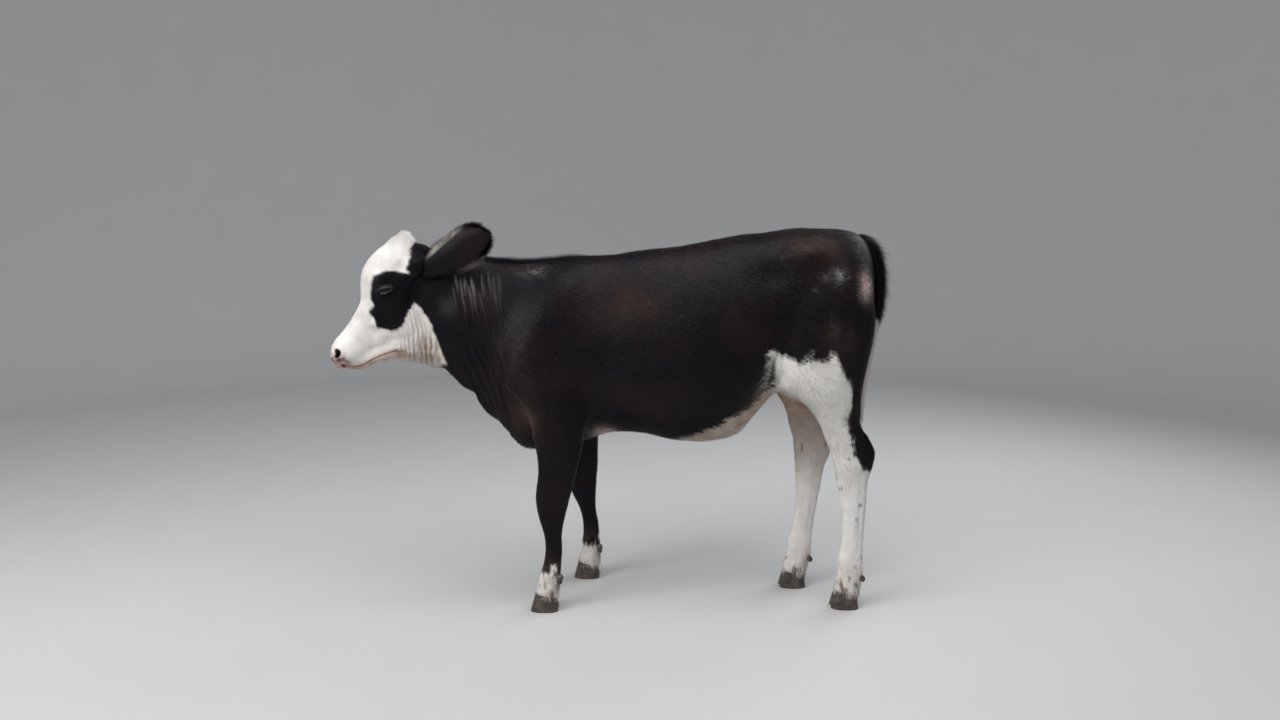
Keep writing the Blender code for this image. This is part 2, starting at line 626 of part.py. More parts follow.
def finish(obj, colour, roughness):
    """Gives a piece its own material and smooth shading with sharp cut edges."""
    obj.data.materials.clear()
    obj.data.materials.append(make_material(obj.name, colour, roughness))
    obj.data.shade_smooth()
    obj.data.set_sharp_from_angle(angle=math.radians(50.0))


def coronet_height(behind):
    """Height of the plane between leg and claws, at a distance behind the foot's centre."""
    return CORONET - CORONET_TILT * behind


def foot_centre(rows):
    """The place on a leg's path at the height of the coronet."""
    heights = [row[2] for row in rows][::-1]
    x = np.interp(CORONET, heights, [row[0] for row in rows][::-1])
    return float(x), rows[-1][1]


def make_feet(body, legs):
    """Cuts each leg off along its coronet, and adds two claws and two dewclaws."""
    for name, rows in legs.items():
        x, y = foot_centre(rows)
        end = [coronet_height(-0.2) + GAP, coronet_height(0.2) + GAP]
        under = [(x - 0.2, end[0]), (x + 0.2, end[1]), (x + 0.2, -0.1), (x - 0.2, -0.1)]
        boolean(body, prism(under, y - 0.1, y + 0.1), "DIFFERENCE")
        place = name.replace("leg_", "")
        behind = np.interp(DEWCLAW_Z, *zip(*[(r[2], r[0] + r[3]) for r in rows[::-1]]))
        for word, outward in (("outer", np.sign(y)), ("inner", -np.sign(y))):
            horn = claw(f"claw_{place}_{word}", x, y, outward, coronet_height)
            finish(horn, HORN, 0.6)
            spot = (behind - 0.003, y + outward * DEWCLAW_OFF, DEWCLAW_Z)
            lean = Matrix.Rotation(math.radians(DEWCLAW_LEAN), 4, "Y")
            small = make_object(f"dewclaw_{place}_{word}", *ball(spot, DEWCLAW_RADII, lean, 6, 5))
            clear_round(body, small)
            finish(small, HORN, 0.6)


def main():
    """Builds every piece of the animal."""
    for obj in list(bpy.data.objects):
        bpy.data.objects.remove(obj)
    legs = all_legs()
    body = make_body()
    make_feet(body, legs)
    tail = make_object("tail", *tail_shape())
    clear_round(body, tail)
    switch = [(0.6, SWITCH_TOP), (1.0, SWITCH_TOP), (1.0, 0.2), (0.6, 0.2)]
    finish(part_off(tail, "tail_switch", switch, -0.3, 0.3), WHITE, 0.8)
    finish(tail, BLACK, 0.7)
    for side, left in (("left", 1.0), ("right", -1.0)):
        ear = make_object(f"ear_{side}", *ear_shape(side))
        clear_round(body, ear)
        finish(ear, BLACK, 0.7)
        centre = on_head(EYE[0], EYE[1], EYE[2] * left)
        eye = make_object(f"eye_{side}", *ball(centre, [EYE_RADIUS] * 3, None, 10, 8))
        clear_round(body, eye)
        finish(eye, EYE_COLOUR, 0.1)
    for name, outline in LEG_CUTS.items():
        low, high = LEG_SPAN[name.split("_")[1]]
        if name.endswith("left"):
            low, high = -high, -low
        colour = WHITE if "hind" in name else BLACK
        finish(part_off(body, name, outline, low, high), colour, 0.6)
    turn = Matrix.Translation(MUZZLE) @ Matrix.Rotation(HEAD_YAW, 4, "Z")
    finish(part_off(body, "head", HEAD_CUT, -0.4, 0.4, turn), WHITE, 0.7)
    finish(part_off(body, "neck", NECK_CUT, -0.4, 0.4), BLACK, 0.6)
    body.name = "trunk"
    finish(body, BLACK, 0.5)


main()
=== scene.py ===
"""A young black cow with a white face, standing: its skin, coat, eyes, claws and a plain studio.

The animal faces -X, its left side is towards -Y and it stands on Z = 0. The skin lies inside the
solids it stands for, by the coat's depth. Markings are worked out from named outlines, once for
the skin's points and once for the root of every tuft, so that both carry the same pattern.
"""

import math

import bmesh
import bpy
import numpy as np
from mathutils import Matrix, Vector

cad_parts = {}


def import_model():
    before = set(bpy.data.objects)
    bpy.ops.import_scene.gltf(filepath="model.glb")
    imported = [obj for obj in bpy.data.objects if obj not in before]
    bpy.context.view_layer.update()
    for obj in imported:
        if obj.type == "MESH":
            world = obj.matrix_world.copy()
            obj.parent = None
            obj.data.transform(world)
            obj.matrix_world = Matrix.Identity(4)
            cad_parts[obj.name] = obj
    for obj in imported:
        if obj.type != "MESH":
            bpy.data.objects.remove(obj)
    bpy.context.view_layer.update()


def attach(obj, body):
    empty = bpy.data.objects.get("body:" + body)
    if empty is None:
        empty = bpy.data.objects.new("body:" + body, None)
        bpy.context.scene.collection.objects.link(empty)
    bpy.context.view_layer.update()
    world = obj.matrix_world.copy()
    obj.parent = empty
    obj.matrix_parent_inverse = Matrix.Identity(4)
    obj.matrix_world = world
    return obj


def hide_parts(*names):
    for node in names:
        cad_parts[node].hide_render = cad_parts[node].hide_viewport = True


# ---------------------------------------------------------------- measures, in metres

VOXEL = 0.0090  # grain of the fused skin
SKIN_FACES = 188000  # triangles of the skin
BLEND_ROUNDS = 24  # rounds of smoothing that melt the trunk's forms into each other
SHOULDER_ROUNDS = 44  # rounds more on the shoulders
COAT_DEPTH = 0.0030  # how far the skin lies inside the solids
FORE_Y, FORE_Y_FAR = 0.138, 0.152  # midlines of the left and right front legs
HIND_Y, HIND_Y_FAR = 0.116, 0.116  # midlines of the left and right hind legs
FORE_LEAN, HIND_LEAN = 0.012, -0.044  # how far the right feet stand out of those midlines
FORE_STEP, HIND_STEP = 0.120, -0.138  # how far the right claws stand behind the left ones
FORE_ROOT, HIND_ROOT = 0.66, 0.95  # heights at which that step fades out
HEAD_YAW = math.radians(20.0)  # the head is turned to the animal's left
FACE_SLOPE = math.radians(60.0)  # axis of the face above the horizontal
MUZZLE = Vector((-0.855, -0.120, 0.790))  # origin of the head's own axes
EYE_RADIUS = 0.0180  # of the eyeball without its cornea
PUPIL_STRETCH = 1.35  # how much longer than high the pupil is
EYE = (0.264, -0.026, 0.0800)  # centre of an eye along, above and beside the face's axis
CORONET, CORONET_TILT = 0.050, 0.22  # height of the claws' upper edge, and its fall to the heel
CORONET_TOE, CORONET_HEEL = 0.040, 0.038  # its reach before and behind a foot's middle
CLAW_TOE, CLAW_HEEL = 0.050, 0.037  # the sole's reach
CLAW_WIDTH, CLEFT = 0.040, 0.003  # width of a claw, and the gap between two
INSET_TOE, INSET_HEEL = 0.006, 0.004  # how far the horn's upper edge lies inside the coronet
TUCK_IN, TUCK_DEPTH = 0.22, 0.012  # how much the skin narrows within the claws, and how deep
DEWCLAW_Z, DEWCLAW_OFF = 0.098, 0.017  # a dewclaw's height, and its distance off the midline
DEWCLAW_RADII, DEWCLAW_LEAN = (0.011, 0.010, 0.014), -25.0  # of its solid, and degrees back
SPUR_SIZE = 0.84  # size of its horn as a part of the solid's
LEG_POWER = 2.2  # squareness of the legs' rings
LEFTWARD = {"left": 1.0, "right": -1.0}  # sign of a place's distance to the head's left
EAR_CUP = 0.30  # how far an ear's edges bend to its hollow side, in parts of its half width
EAR_POSE = {"left": (0.0, 1.0), "right": (0.16, 0.90)}  # droop, and part of the sideways reach
EAR_LEVEL = (0.41, 0.10, 0.91)  # the way across an ear: along the face, to its middle, off it

# x, height of the widest level, top, bottom, half width, power above, power below
TRUNK = (
    (-0.410, 0.800, 0.930, 0.690, 0.070, 2.0, 2.0),
    (-0.365, 0.800, 1.050, 0.580, 0.104, 2.0, 1.9),
    (-0.300, 0.800, 1.100, 0.508, 0.128, 1.9, 1.8),
    (-0.240, 0.800, 1.108, 0.487, 0.140, 1.8, 1.8),
    (-0.160, 0.790, 1.117, 0.492, 0.149, 1.75, 1.9),
    (-0.080, 0.780, 1.121, 0.522, 0.158, 1.8, 2.0),
    (0.000, 0.770, 1.121, 0.546, 0.171, 1.9, 2.1),
    (0.090, 0.760, 1.132, 0.546, 0.189, 2.0, 2.1),
    (0.200, 0.750, 1.142, 0.524, 0.205, 2.0, 2.2),
    (0.320, 0.760, 1.164, 0.521, 0.212, 2.05, 2.2),
    (0.400, 0.790, 1.179, 0.543, 0.204, 2.1, 2.1),
    (0.460, 0.840, 1.184, 0.605, 0.190, 2.2, 2.0),
    (0.520, 0.900, 1.191, 0.674, 0.172, 2.3, 2.0),
    (0.580, 0.960, 1.200, 0.695, 0.168, 2.6, 2.0),
    (0.650, 0.980, 1.198, 0.705, 0.162, 2.6, 2.0),
    (0.720, 0.985, 1.196, 0.735, 0.148, 2.4, 2.0),
    (0.775, 0.985, 1.183, 0.785, 0.122, 2.2, 2.0),
    (0.812, 0.985, 1.150, 0.850, 0.088, 2.1, 2.0),
    (0.832, 0.990, 1.090, 0.910, 0.040, 2.0, 2.0),
)

# x, y, z, above, below, half width, power above, power below
NECK = (
    (-0.620, -0.040, 0.990, 0.150, 0.140, 0.052, 2.0, 2.0),
    (-0.560, -0.032, 0.965, 0.170, 0.185, 0.064, 2.0, 2.0),
    (-0.490, -0.020, 0.930, 0.195, 0.222, 0.076, 2.0, 1.8),
    (-0.420, -0.008, 0.890, 0.228, 0.262, 0.092, 1.9, 1.7),
    (-0.350, 0.000, 0.860, 0.250, 0.285, 0.112, 1.8, 1.7),
    (-0.270, 0.000, 0.840, 0.268, 0.290, 0.128, 1.8, 1.8),
    (-0.180, 0.000, 0.840, 0.270, 0.270, 0.135, 1.8, 2.0),
)

# along the face, axis off the face, outer, inner, half width, power outer, power inner
FACE = (
    (-0.014, -0.018, 0.010, 0.014, 0.022, 2.0, 2.0),
    (0.000, -0.018, 0.028, 0.032, 0.043, 2.3, 2.0),
    (0.025, -0.020, 0.046, 0.046, 0.054, 2.4, 2.0),
    (0.055, -0.025, 0.056, 0.056, 0.053, 2.3, 2.0),
    (0.085, -0.033, 0.058, 0.065, 0.048, 2.2, 2.0),
    (0.120, -0.042, 0.062, 0.075, 0.049, 2.2, 2.0),
    (0.160, -0.050, 0.068, 0.080, 0.056, 2.3, 2.0),
    (0.200, -0.050, 0.070, 0.085, 0.068, 2.5, 2.0),
    (0.240, -0.045, 0.086, 0.090, 0.081, 2.6, 2.0),
    (0.280, -0.036, 0.094, 0.095, 0.087, 2.6, 2.0),
    (0.320, -0.036, 0.097, 0.095, 0.084, 2.5, 2.0),
    (0.360, -0.040, 0.093, 0.090, 0.078, 2.3, 2.0),
    (0.400, -0.045, 0.082, 0.085, 0.076, 2.1, 2.0),
    (0.440, -0.050, 0.078, 0.075, 0.066, 2.0, 2.0),
    (0.468, -0.052, 0.060, 0.050, 0.044, 2.0, 2.0),
    (0.478, -0.052, 0.020, 0.018, 0.012, 2.0, 2.0),
)

# level distance behind the muzzle, height, above, below, half width, power above, power below
JAW = (
    (0.036, -0.008, 0.008, 0.008, 0.012, 2.0, 2.0),
    (0.050, -0.008, 0.020, 0.018, 0.030, 2.2, 2.0),
    (0.080, -0.006, 0.030, 0.027, 0.038, 2.2, 2.0),
    (0.115, 0.006, 0.045, 0.025, 0.041, 2.2, 2.0),
    (0.150, 0.026, 0.065, 0.036, 0.046, 2.2, 2.0),
    (0.190, 0.055, 0.085, 0.065, 0.053, 2.2, 1.8),
    (0.230, 0.085, 0.110, 0.098, 0.061, 2.2, 1.7),
    (0.275, 0.115, 0.120, 0.140, 0.067, 2.2, 1.6),
    (0.320, 0.140, 0.120, 0.180, 0.068, 2.1, 1.6),
    (0.365, 0.155, 0.120, 0.188, 0.064, 2.0, 1.6),
    (0.410, 0.160, 0.120, 0.172, 0.056, 2.0, 1.7),
)

# both legs: z, x, y beside the leg's midline, behind, before, half width
HIND_LEG = (
    (1.130, 0.680, -0.045, 0.090, 0.080, 0.055),
    (1.060, 0.680, -0.022, 0.120, 0.110, 0.068),
    (0.980, 0.672, -0.006, 0.145, 0.135, 0.078),
    (0.900, 0.666, 0.000, 0.152, 0.150, 0.082),
    (0.820, 0.660, 0.004, 0.145, 0.150, 0.080),
    (0.750, 0.665, 0.008, 0.125, 0.138, 0.073),
    (0.690, 0.680, 0.010, 0.101, 0.115, 0.062),
    (0.640, 0.700, 0.010, 0.079, 0.088, 0.050),
    (0.590, 0.720, 0.008, 0.066, 0.074, 0.041),
    (0.550, 0.736, 0.006, 0.070, 0.074, 0.037),
    (0.505, 0.750, 0.004, 0.076, 0.068, 0.036),
    (0.460, 0.755, 0.002, 0.066, 0.061, 0.036),
    (0.410, 0.757, 0.000, 0.052, 0.053, 0.031),
    (0.350, 0.762, 0.000, 0.044, 0.045, 0.027),
    (0.270, 0.764, 0.000, 0.038, 0.039, 0.025),
    (0.200, 0.761, 0.000, 0.038, 0.040, 0.026),
    (0.155, 0.757, 0.000, 0.043, 0.045, 0.031),
    (0.120, 0.757, 0.000, 0.045, 0.043, 0.032),
    (0.090, 0.752, 0.000, 0.045, 0.045, 0.031),
    (0.055, 0.747, 0.000, 0.042, 0.044, 0.036),
    (0.025, 0.743, 0.000, 0.041, 0.045, 0.038),
)

FRONT_LEG = (
    (0.780, -0.205, -0.020, 0.095, 0.095, 0.050),
    (0.700, -0.198, -0.008, 0.118, 0.108, 0.055),
    (0.630, -0.176, -0.002, 0.105, 0.090, 0.052),
    (0.570, -0.169, 0.000, 0.091, 0.076, 0.047),
    (0.510, -0.165, 0.000, 0.077, 0.070, 0.043),
    (0.450, -0.166, 0.000, 0.063, 0.064, 0.039),
    (0.400, -0.175, 0.000, 0.060, 0.060, 0.037),
    (0.365, -0.182, 0.000, 0.057, 0.057, 0.038),
    (0.330, -0.186, 0.000, 0.052, 0.050, 0.036),
    (0.290, -0.186, 0.000, 0.042, 0.042, 0.031),
    (0.245, -0.183, 0.000, 0.031, 0.032, 0.026),
    (0.190, -0.182, 0.000, 0.030, 0.029, 0.025),
    (0.145, -0.187, 0.000, 0.032, 0.031, 0.028),
    (0.110, -0.193, 0.000, 0.036, 0.036, 0.031),
    (0.080, -0.198, 0.000, 0.038, 0.038, 0.030),
    (0.050, -0.205, 0.000, 0.039, 0.041, 0.035),
    (0.025, -0.211, 0.000, 0.040, 0.043, 0.037),
)

# x, y, z, behind, before, half width of the shoulder blade and point of the shoulder
SHOULDER = (
    (-0.105, 0.062, 1.068, 0.045, 0.045, 0.020),
    (-0.125, 0.084, 1.025, 0.080, 0.065, 0.033),
    (-0.165, 0.103, 0.950, 0.100, 0.082, 0.042),
    (-0.215, 0.115, 0.860, 0.104, 0.085, 0.048),
    (-0.262, 0.120, 0.780, 0.092, 0.078, 0.050),
    (-0.292, 0.116, 0.715, 0.060, 0.058, 0.044),
    (-0.300, 0.110, 0.680, 0.030, 0.030, 0.026),
)

# x, y, z, radius along x, radius across
TAIL = (
    (0.762, 0.000, 1.164, 0.010, 0.020),
    (0.788, 0.000, 1.160, 0.022, 0.030),
    (0.818, 0.000, 1.134, 0.022, 0.027),
    (0.840, 0.001, 1.085, 0.019, 0.023),
    (0.848, 0.003, 1.010, 0.017, 0.020),
    (0.846, 0.006, 0.940, 0.015, 0.018),
    (0.840, 0.012, 0.870, 0.014, 0.016),
    (0.830, 0.020, 0.800, 0.013, 0.015),
    (0.818, 0.027, 0.730, 0.013, 0.015),
    (0.806, 0.032, 0.660, 0.015, 0.016),
    (0.797, 0.036, 0.590, 0.019, 0.021),
    (0.791, 0.038, 0.520, 0.022, 0.025),
    (0.789, 0.038, 0.460, 0.019, 0.021),
    (0.790, 0.037, 0.415, 0.011, 0.012),
    (0.791, 0.036, 0.395, 0.003, 0.003),
)

# level distance behind the muzzle, distance off the head's middle, height, half width, thickness
EAR = (
    (0.262, 0.062, 0.262, 0.022, 0.013),
    (0.288, 0.094, 0.281, 0.036, 0.012),
    (0.318, 0.126, 0.301, 0.048, 0.010),
    (0.352, 0.154, 0.327, 0.057, 0.008),
    (0.384, 0.177, 0.351, 0.057, 0.007),
    (0.411, 0.194, 0.371, 0.047, 0.006),
    (0.434, 0.206, 0.386, 0.029, 0.005),
    (0.449, 0.213, 0.394, 0.009, 0.003),
)


def smooth_rows(rows, count):
    """Rows of numbers joined by cubic curves through them, spaced by the path's length."""
    rows = np.asarray(rows, float)
    at = np.concatenate([[0.0], np.cumsum(np.linalg.norm(np.diff(rows[:, :3], axis=0), axis=1))])
    slope = np.gradient(rows, at, axis=0)
    t = np.linspace(0.0, at[-1], count)
    k = np.clip(np.searchsorted(at, t, side="right") - 1, 0, len(at) - 2)
    w = (at[k + 1] - at[k])[:, None]
    s = (t - at[k])[:, None] / w
    value = (1 + 2 * s) * (1 - s) ** 2 * rows[k] + s * s * (3 - 2 * s) * rows[k + 1]
    return value + w * (s * (1 - s) ** 2 * slope[k] + s * s * (s - 1) * slope[k + 1])


def wall_faces(rings, sides):
    """The four-sided faces between rings: points j and j + 1 of one, then of the next."""
    i, j = np.meshgrid(np.arange(rings - 1), np.arange(sides), indexing="ij")
    k = (j + 1) % sides
    walls = np.stack([i * sides + j, i * sides + k, (i + 1) * sides + k, (i + 1) * sides + j], -1)
    return walls.reshape(-1, 4)


def tube_faces(rings, sides):
    """The faces of a closed tube whose two last points are the middles of its ends."""
    j = np.arange(sides)
    k = (j + 1) % sides
    end = (rings - 1) * sides
    first = np.stack([np.full(sides, rings * sides), k, j], -1)
    last = np.stack([np.full(sides, rings * sides + 1), j + end, k + end], -1)
    return wall_faces(rings, sides).tolist() + first.tolist() + last.tolist()


def loft(rows, level=(0.0, 1.0, 0.0), along=None, cup=0.0, sides=36, count=48):
    """A closed tube through rows of (x, y, z, over, under, half width, over power, under power).

    Each ring is two half superellipses, square to the given direction or else to the path.
    'over' lies to the side of path x level: above a path that runs backwards, behind one that
    runs down. A cup bends the ring's edges to the under side, in parts of its half width.
    """
    r = smooth_rows(rows, count)
    centre = r[:, :3]
    if along is None:
        along = np.gradient(centre, axis=0)
    along = np.broadcast_to(np.asarray(along, float), centre.shape)
    along = along / np.linalg.norm(along, axis=1)[:, None]
    over = np.cross(along, level)
    over /= np.linalg.norm(over, axis=1)[:, None]
    side = np.cross(over, along)
    turn = np.linspace(0.0, 2 * math.pi, sides, endpoint=False)
    c, s = np.cos(turn), np.sin(turn)
    power = np.where(c >= 0, r[:, 6:7], r[:, 7:8])
    reach = np.where(c >= 0, r[:, 3:4], r[:, 4:5])
    b = np.sign(s) * np.abs(s) ** (2 / power) * r[:, 5:6]
    a = np.sign(c) * np.abs(c) ** (2 / power) * reach - cup * b**2 / r[:, 5:6]
    ring = centre[:, None] + a[..., None] * over[:, None] + b[..., None] * side[:, None]
    points = np.concatenate([ring.reshape(-1, 3), ring[[0, -1]].mean(1)])
    return points, tube_faces(count, sides)


def ball(centre, radii, turn=None, sides=28, down=18):
    """A rounded mass: a sphere stretched to three radii, turned, and placed."""
    bm = bmesh.new()
    bmesh.ops.create_uvsphere(bm, u_segments=sides, v_segments=down, radius=1.0)
    matrix = Matrix.Translation(centre) @ (turn or Matrix()) @ Matrix.Diagonal((*radii, 1.0))
    bm.transform(matrix)
    points = np.array([v.co for v in bm.verts])
    # Sorted, since create_uvsphere gives its faces in another order each run.
    faces = sorted([v.index for v in f.verts] for f in bm.faces)
    bm.free()
    return points, faces


def head_turn():
    """Turns local axes (back along the face, to its right, off the face) into the head's."""
    return Matrix.Rotation(HEAD_YAW, 4, "Z") @ Matrix.Rotation(-FACE_SLOPE, 4, "Y")


def on_head(along, off, left=0.0):
    """The place at a distance along the face from the muzzle, off its axis and to the left."""
    back = along * math.cos(FACE_SLOPE) - off * math.sin(FACE_SLOPE)
    up = along * math.sin(FACE_SLOPE) + off * math.cos(FACE_SLOPE)
    return level_on_head(back, up, left)


def level_on_head(back, up, left=0.0):
    """The place at a level distance behind the muzzle, above it and to the left."""
    x = MUZZLE.x + back * math.cos(HEAD_YAW) + left * math.sin(HEAD_YAW)
    y = MUZZLE.y + back * math.sin(HEAD_YAW) - left * math.cos(HEAD_YAW)
    return Vector((x, y, MUZZLE.z + up))


def step_back(z, step, root):
    """The part of a foot's shift that a place at height z takes, fading out at the leg's root."""
    return step * np.maximum(0.0, 1.0 - (z / root) ** 1.5)


def squared_up(points, step, root):
    """The x of places on the legs, as if the right legs stood beside the left ones."""
    x, y, z = points.T
    return x - np.where(y > 0, step_back(z, step, root), 0.0)


def leg_rows(table, y, sign, step, lean, root):
    """A leg's rows, from the top down, on the side given by sign (-1 left, 1 right)."""
    rows = []
    for z, x, out, behind, before, half in table:
        x += step_back(z, step, root)
        out += y + step_back(z, lean, root)
        rows.append((x, sign * out, z, behind, before, half, LEG_POWER, LEG_POWER))
    return rows


def trunk_rows():
    """The trunk's rows, front to back."""
    return [(x, 0.0, z, top - z, z - low, half, a, b) for x, z, top, low, half, a, b in TRUNK]


def face_rows():
    """The face's rows, from the muzzle to the poll."""
    return [(*on_head(s, u), out, inner, half, a, b) for s, u, out, inner, half, a, b in FACE]


def jaw_rows():
    """The lower jaw's rows, from the chin back to the throat."""
    return [(*level_on_head(f, h), up, low, half, a, b) for f, h, up, low, half, a, b in JAW]


def shoulder_rows(sign):
    """The rows of a shoulder, from the top of its blade to its point."""
    return [(x, sign * y, z, back, fore, half, 2.0, 2.0) for x, y, z, back, fore, half in SHOULDER]


def ear_rows(side):
    """An ear's rows, from its root to its tip."""
    droop, reach = EAR_POSE[side]
    root = EAR[0]
    rows = []
    for back, off, up, half, thick in EAR:
        off = root[1] + reach * (off - root[1])
        up -= droop * (back - root[0] + off - root[1])
        place = level_on_head(back, up, LEFTWARD[side] * off)
        rows.append((*place, thick / 2, thick / 2, half, 2.0, 2.0))
    return rows


def ear_axes(side):
    """From an ear's root to its tip, the way across it, and the way its hollow faces."""
    rows, left = ear_rows(side), LEFTWARD[side]
    along = np.subtract(rows[-1][:3], rows[0][:3])
    face, middle, off = EAR_LEVEL
    across = head_turn().to_3x3() @ Vector((face, middle * left, off))
    hollow = -Vector(along).cross(across * left).normalized()
    return along, across, np.array(hollow)


def head_masses():
    """Muzzle wings, upper lip, eye sockets, cheeks and poll, each a rounded mass."""
    turn = head_turn()
    masses = [
        ball(on_head(0.022, -0.012), (0.034, 0.050, 0.036), turn),
        ball(on_head(0.030, -0.046), (0.036, 0.046, 0.030), turn),
        ball(on_head(0.440, -0.008), (0.036, 0.042, 0.036), turn),
        ball(on_head(0.320, 0.000), (0.080, 0.058, 0.060), turn),
    ]
    for left in (-1.0, 1.0):
        masses += [
            ball(on_head(0.026, -0.002, 0.026 * left), (0.026, 0.024, 0.026), turn),
            ball(on_head(0.268, -0.024, 0.056 * left), (0.046, 0.036, 0.042), turn),
            ball(on_head(0.292, 0.000, 0.058 * left), (0.036, 0.032, 0.028), turn),
            ball(on_head(0.222, -0.120, 0.034 * left), (0.084, 0.038, 0.080), turn),
            ball(on_head(0.150, -0.085, 0.030 * left), (0.056, 0.024, 0.044), turn),
            ball(on_head(0.190, -0.050, 0.038 * left), (0.060, 0.026, 0.036), turn),
            ball(on_head(0.375, -0.068, 0.060 * left), (0.044, 0.036, 0.040), turn),
        ]
    return masses


def trunk_masses():
    """Hip bones, pin bones, thurls, elbows, stifles and the navel fold."""
    masses = [ball((0.315, 0.0, 0.545), (0.075, 0.034, 0.026))]
    for side in (-1.0, 1.0):
        masses += [
            ball((0.590, 0.104 * side, 1.105), (0.085, 0.062, 0.062)),
            ball((0.778, 0.060 * side, 1.040), (0.046, 0.040, 0.072)),
            ball((0.700, 0.100 * side, 0.985), (0.110, 0.066, 0.110)),
            ball((-0.165, 0.108 * side, 0.715), (0.118, 0.052, 0.095)),
            ball((0.565, 0.100 * side, 0.750), (0.060, 0.066, 0.085)),
        ]
    return masses


def all_legs():
    """Rows of the four legs by name."""
    return {
        "leg_front_left": leg_rows(FRONT_LEG, FORE_Y, -1, 0.0, 0.0, FORE_ROOT),
        "leg_front_right": leg_rows(FRONT_LEG, FORE_Y_FAR, 1, FORE_STEP, FORE_LEAN, FORE_ROOT),
        "leg_hind_left": leg_rows(HIND_LEG, HIND_Y, -1, 0.0, 0.0, HIND_ROOT),
        "leg_hind_right": leg_rows(HIND_LEG, HIND_Y_FAR, 1, HIND_STEP, HIND_LEAN, HIND_ROOT),
    }


def body_shapes():
    """All the forms that are fused into the body."""
    across = (-math.sin(HEAD_YAW), math.cos(HEAD_YAW), 0.0)
    up_face = head_turn().to_3x3() @ Vector((1.0, 0.0, 0.0))
    back = (math.cos(HEAD_YAW), math.sin(HEAD_YAW), 0.0)
    shapes = [
        loft(trunk_rows(), along=(1.0, 0.0, 0.0), sides=48, count=90),
        loft(NECK, along=(1.0, 0.0, 0.0)),
        loft(face_rows(), across, up_face, count=60),
        loft(jaw_rows(), across, back),
    ]
    shapes += [loft(shoulder_rows(sign)) for sign in (-1, 1)]
    shapes += [loft(rows, along=(0.0, 0.0, -1.0), count=90) for rows in all_legs().values()]
    return shapes + head_masses() + trunk_masses()


def face_outwards(mesh):
    """Turns a mesh's faces to point out."""
    bm = bmesh.new()
    bm.from_mesh(mesh)
    bmesh.ops.recalc_face_normals(bm, faces=bm.faces)
    bm.to_mesh(mesh)
    bm.free()


def make_object(name, points, faces):
    """A new object from points and faces, its faces pointing out."""
    mesh = bpy.data.meshes.new(name)
    mesh.from_pydata(np.asarray(points).tolist(), [], faces)
    face_outwards(mesh)
    obj = bpy.data.objects.new(name, mesh)
    bpy.context.scene.collection.objects.link(obj)
    return obj


def joined(shapes):
    """Several shapes' points and faces as one list of each."""
    points, faces, start = [], [], 0
    for some, loops in shapes:
        points.append(some)
        faces += [[start + k for k in loop] for loop in loops]
        start += len(some)
    return np.concatenate(points), faces


def apply_modifiers(obj):
    """Replaces an object's mesh with what its modifiers make of it."""
    graph = bpy.context.evaluated_depsgraph_get()
    mesh = bpy.data.meshes.new_from_object(obj.evaluated_get(graph))
    obj.modifiers.clear()
    old = obj.data
    obj.data = mesh
    bpy.data.meshes.remove(old)


def mesh_points(mesh):
    """A mesh's points as one array."""
    points = np.empty(len(mesh.vertices) * 3, np.float32)
    mesh.vertices.foreach_get("co", points)
    return points.reshape(-1, 3).astype(float)


def relax(points, edges, rounds, push=0.5, pull=-0.515):
    """Moves points towards their neighbours' mean by push, then by pull, round by round."""
    ends = np.concatenate([edges, edges[:, ::-1]])
    count = np.bincount(ends[:, 0], minlength=len(points))[:, None]
    for k in range(2 * rounds):
        total = [np.bincount(ends[:, 0], points[ends[:, 1], i], len(points)) for i in range(3)]
        step = push if k % 2 == 0 else pull
        points = points + step * (np.stack(total, 1) / count - points)
    return points


def ramp(value, low, high):
    """0 below low, 1 above high, and a smooth rise between them."""
    t = np.clip((value - low) / (high - low), 0.0, 1.0)
    return t * t * (3 - 2 * t)


def press(points, normals, centre, radii, depth, turn=None):
    """Pushes points in along their normals by a rounded dent of the given radii."""
    away = points - np.array(centre)
    if turn is not None:
        away = away @ np.array(turn.to_3x3())
    fall = np.exp(-((away / np.array(radii)) ** 2).sum(1))
    return points - normals * (depth * fall)[:, None]


def set_points(mesh, points):
    """Puts an array of points into a mesh."""
    mesh.vertices.foreach_set("co", points.astype(np.float32).ravel())
    mesh.update()


# ---------------------------------------------------------------- the skin

SLIT_HALF, SLIT_UP, SLIT_DOWN = 0.0185, 0.0062, 0.0085  # the half-closed eye's opening
LID_THICK = 0.0028  # the lids' height over the eyeball
LID_FOLDS = (0.0115, 0.0168, -0.0135)  # heights of the lids' folds over the eye's middle
CROWN_BASE = 0.300  # height over the muzzle where the poll starts to be lowered
# steps in the share of its height that the poll loses, each between two level distances back
CROWN_STEPS = ((0.13, 0.170, 0.205), (0.235, 0.228, 0.262), (-0.365, 0.296, 0.336))
NECK_FOLD = 0.0118  # from one upright fold of the neck to the next
# least and most of the folds' upper ends, lower ends and strengths
FOLD_SPANS = ((1.010, 1.085), (0.83, 0.96), (0.45, 1.0))
FOLD_DRAWS = 32  # folds before the draws repeat
# the skin fold from flank to stifle, and the brisket's crease below: x and z
FLANK_FOLD = ((0.515, 0.770), (0.492, 0.700), (0.440, 0.640), (0.375, 0.590))
# height, width and depth of the hollows and folds down the dewlap's edge
DEWLAP = ((0.674, 0.020, 0.0130), (0.614, 0.020, -0.0055), (0.556, 0.014, 0.0060),
          (0.508, 0.018, -0.0055))
BRISKET_CREASE = ((-0.345, 0.690), (-0.326, 0.640), (-0.3125, 0.597), (-0.285, 0.570),
                  (-0.250, 0.552))
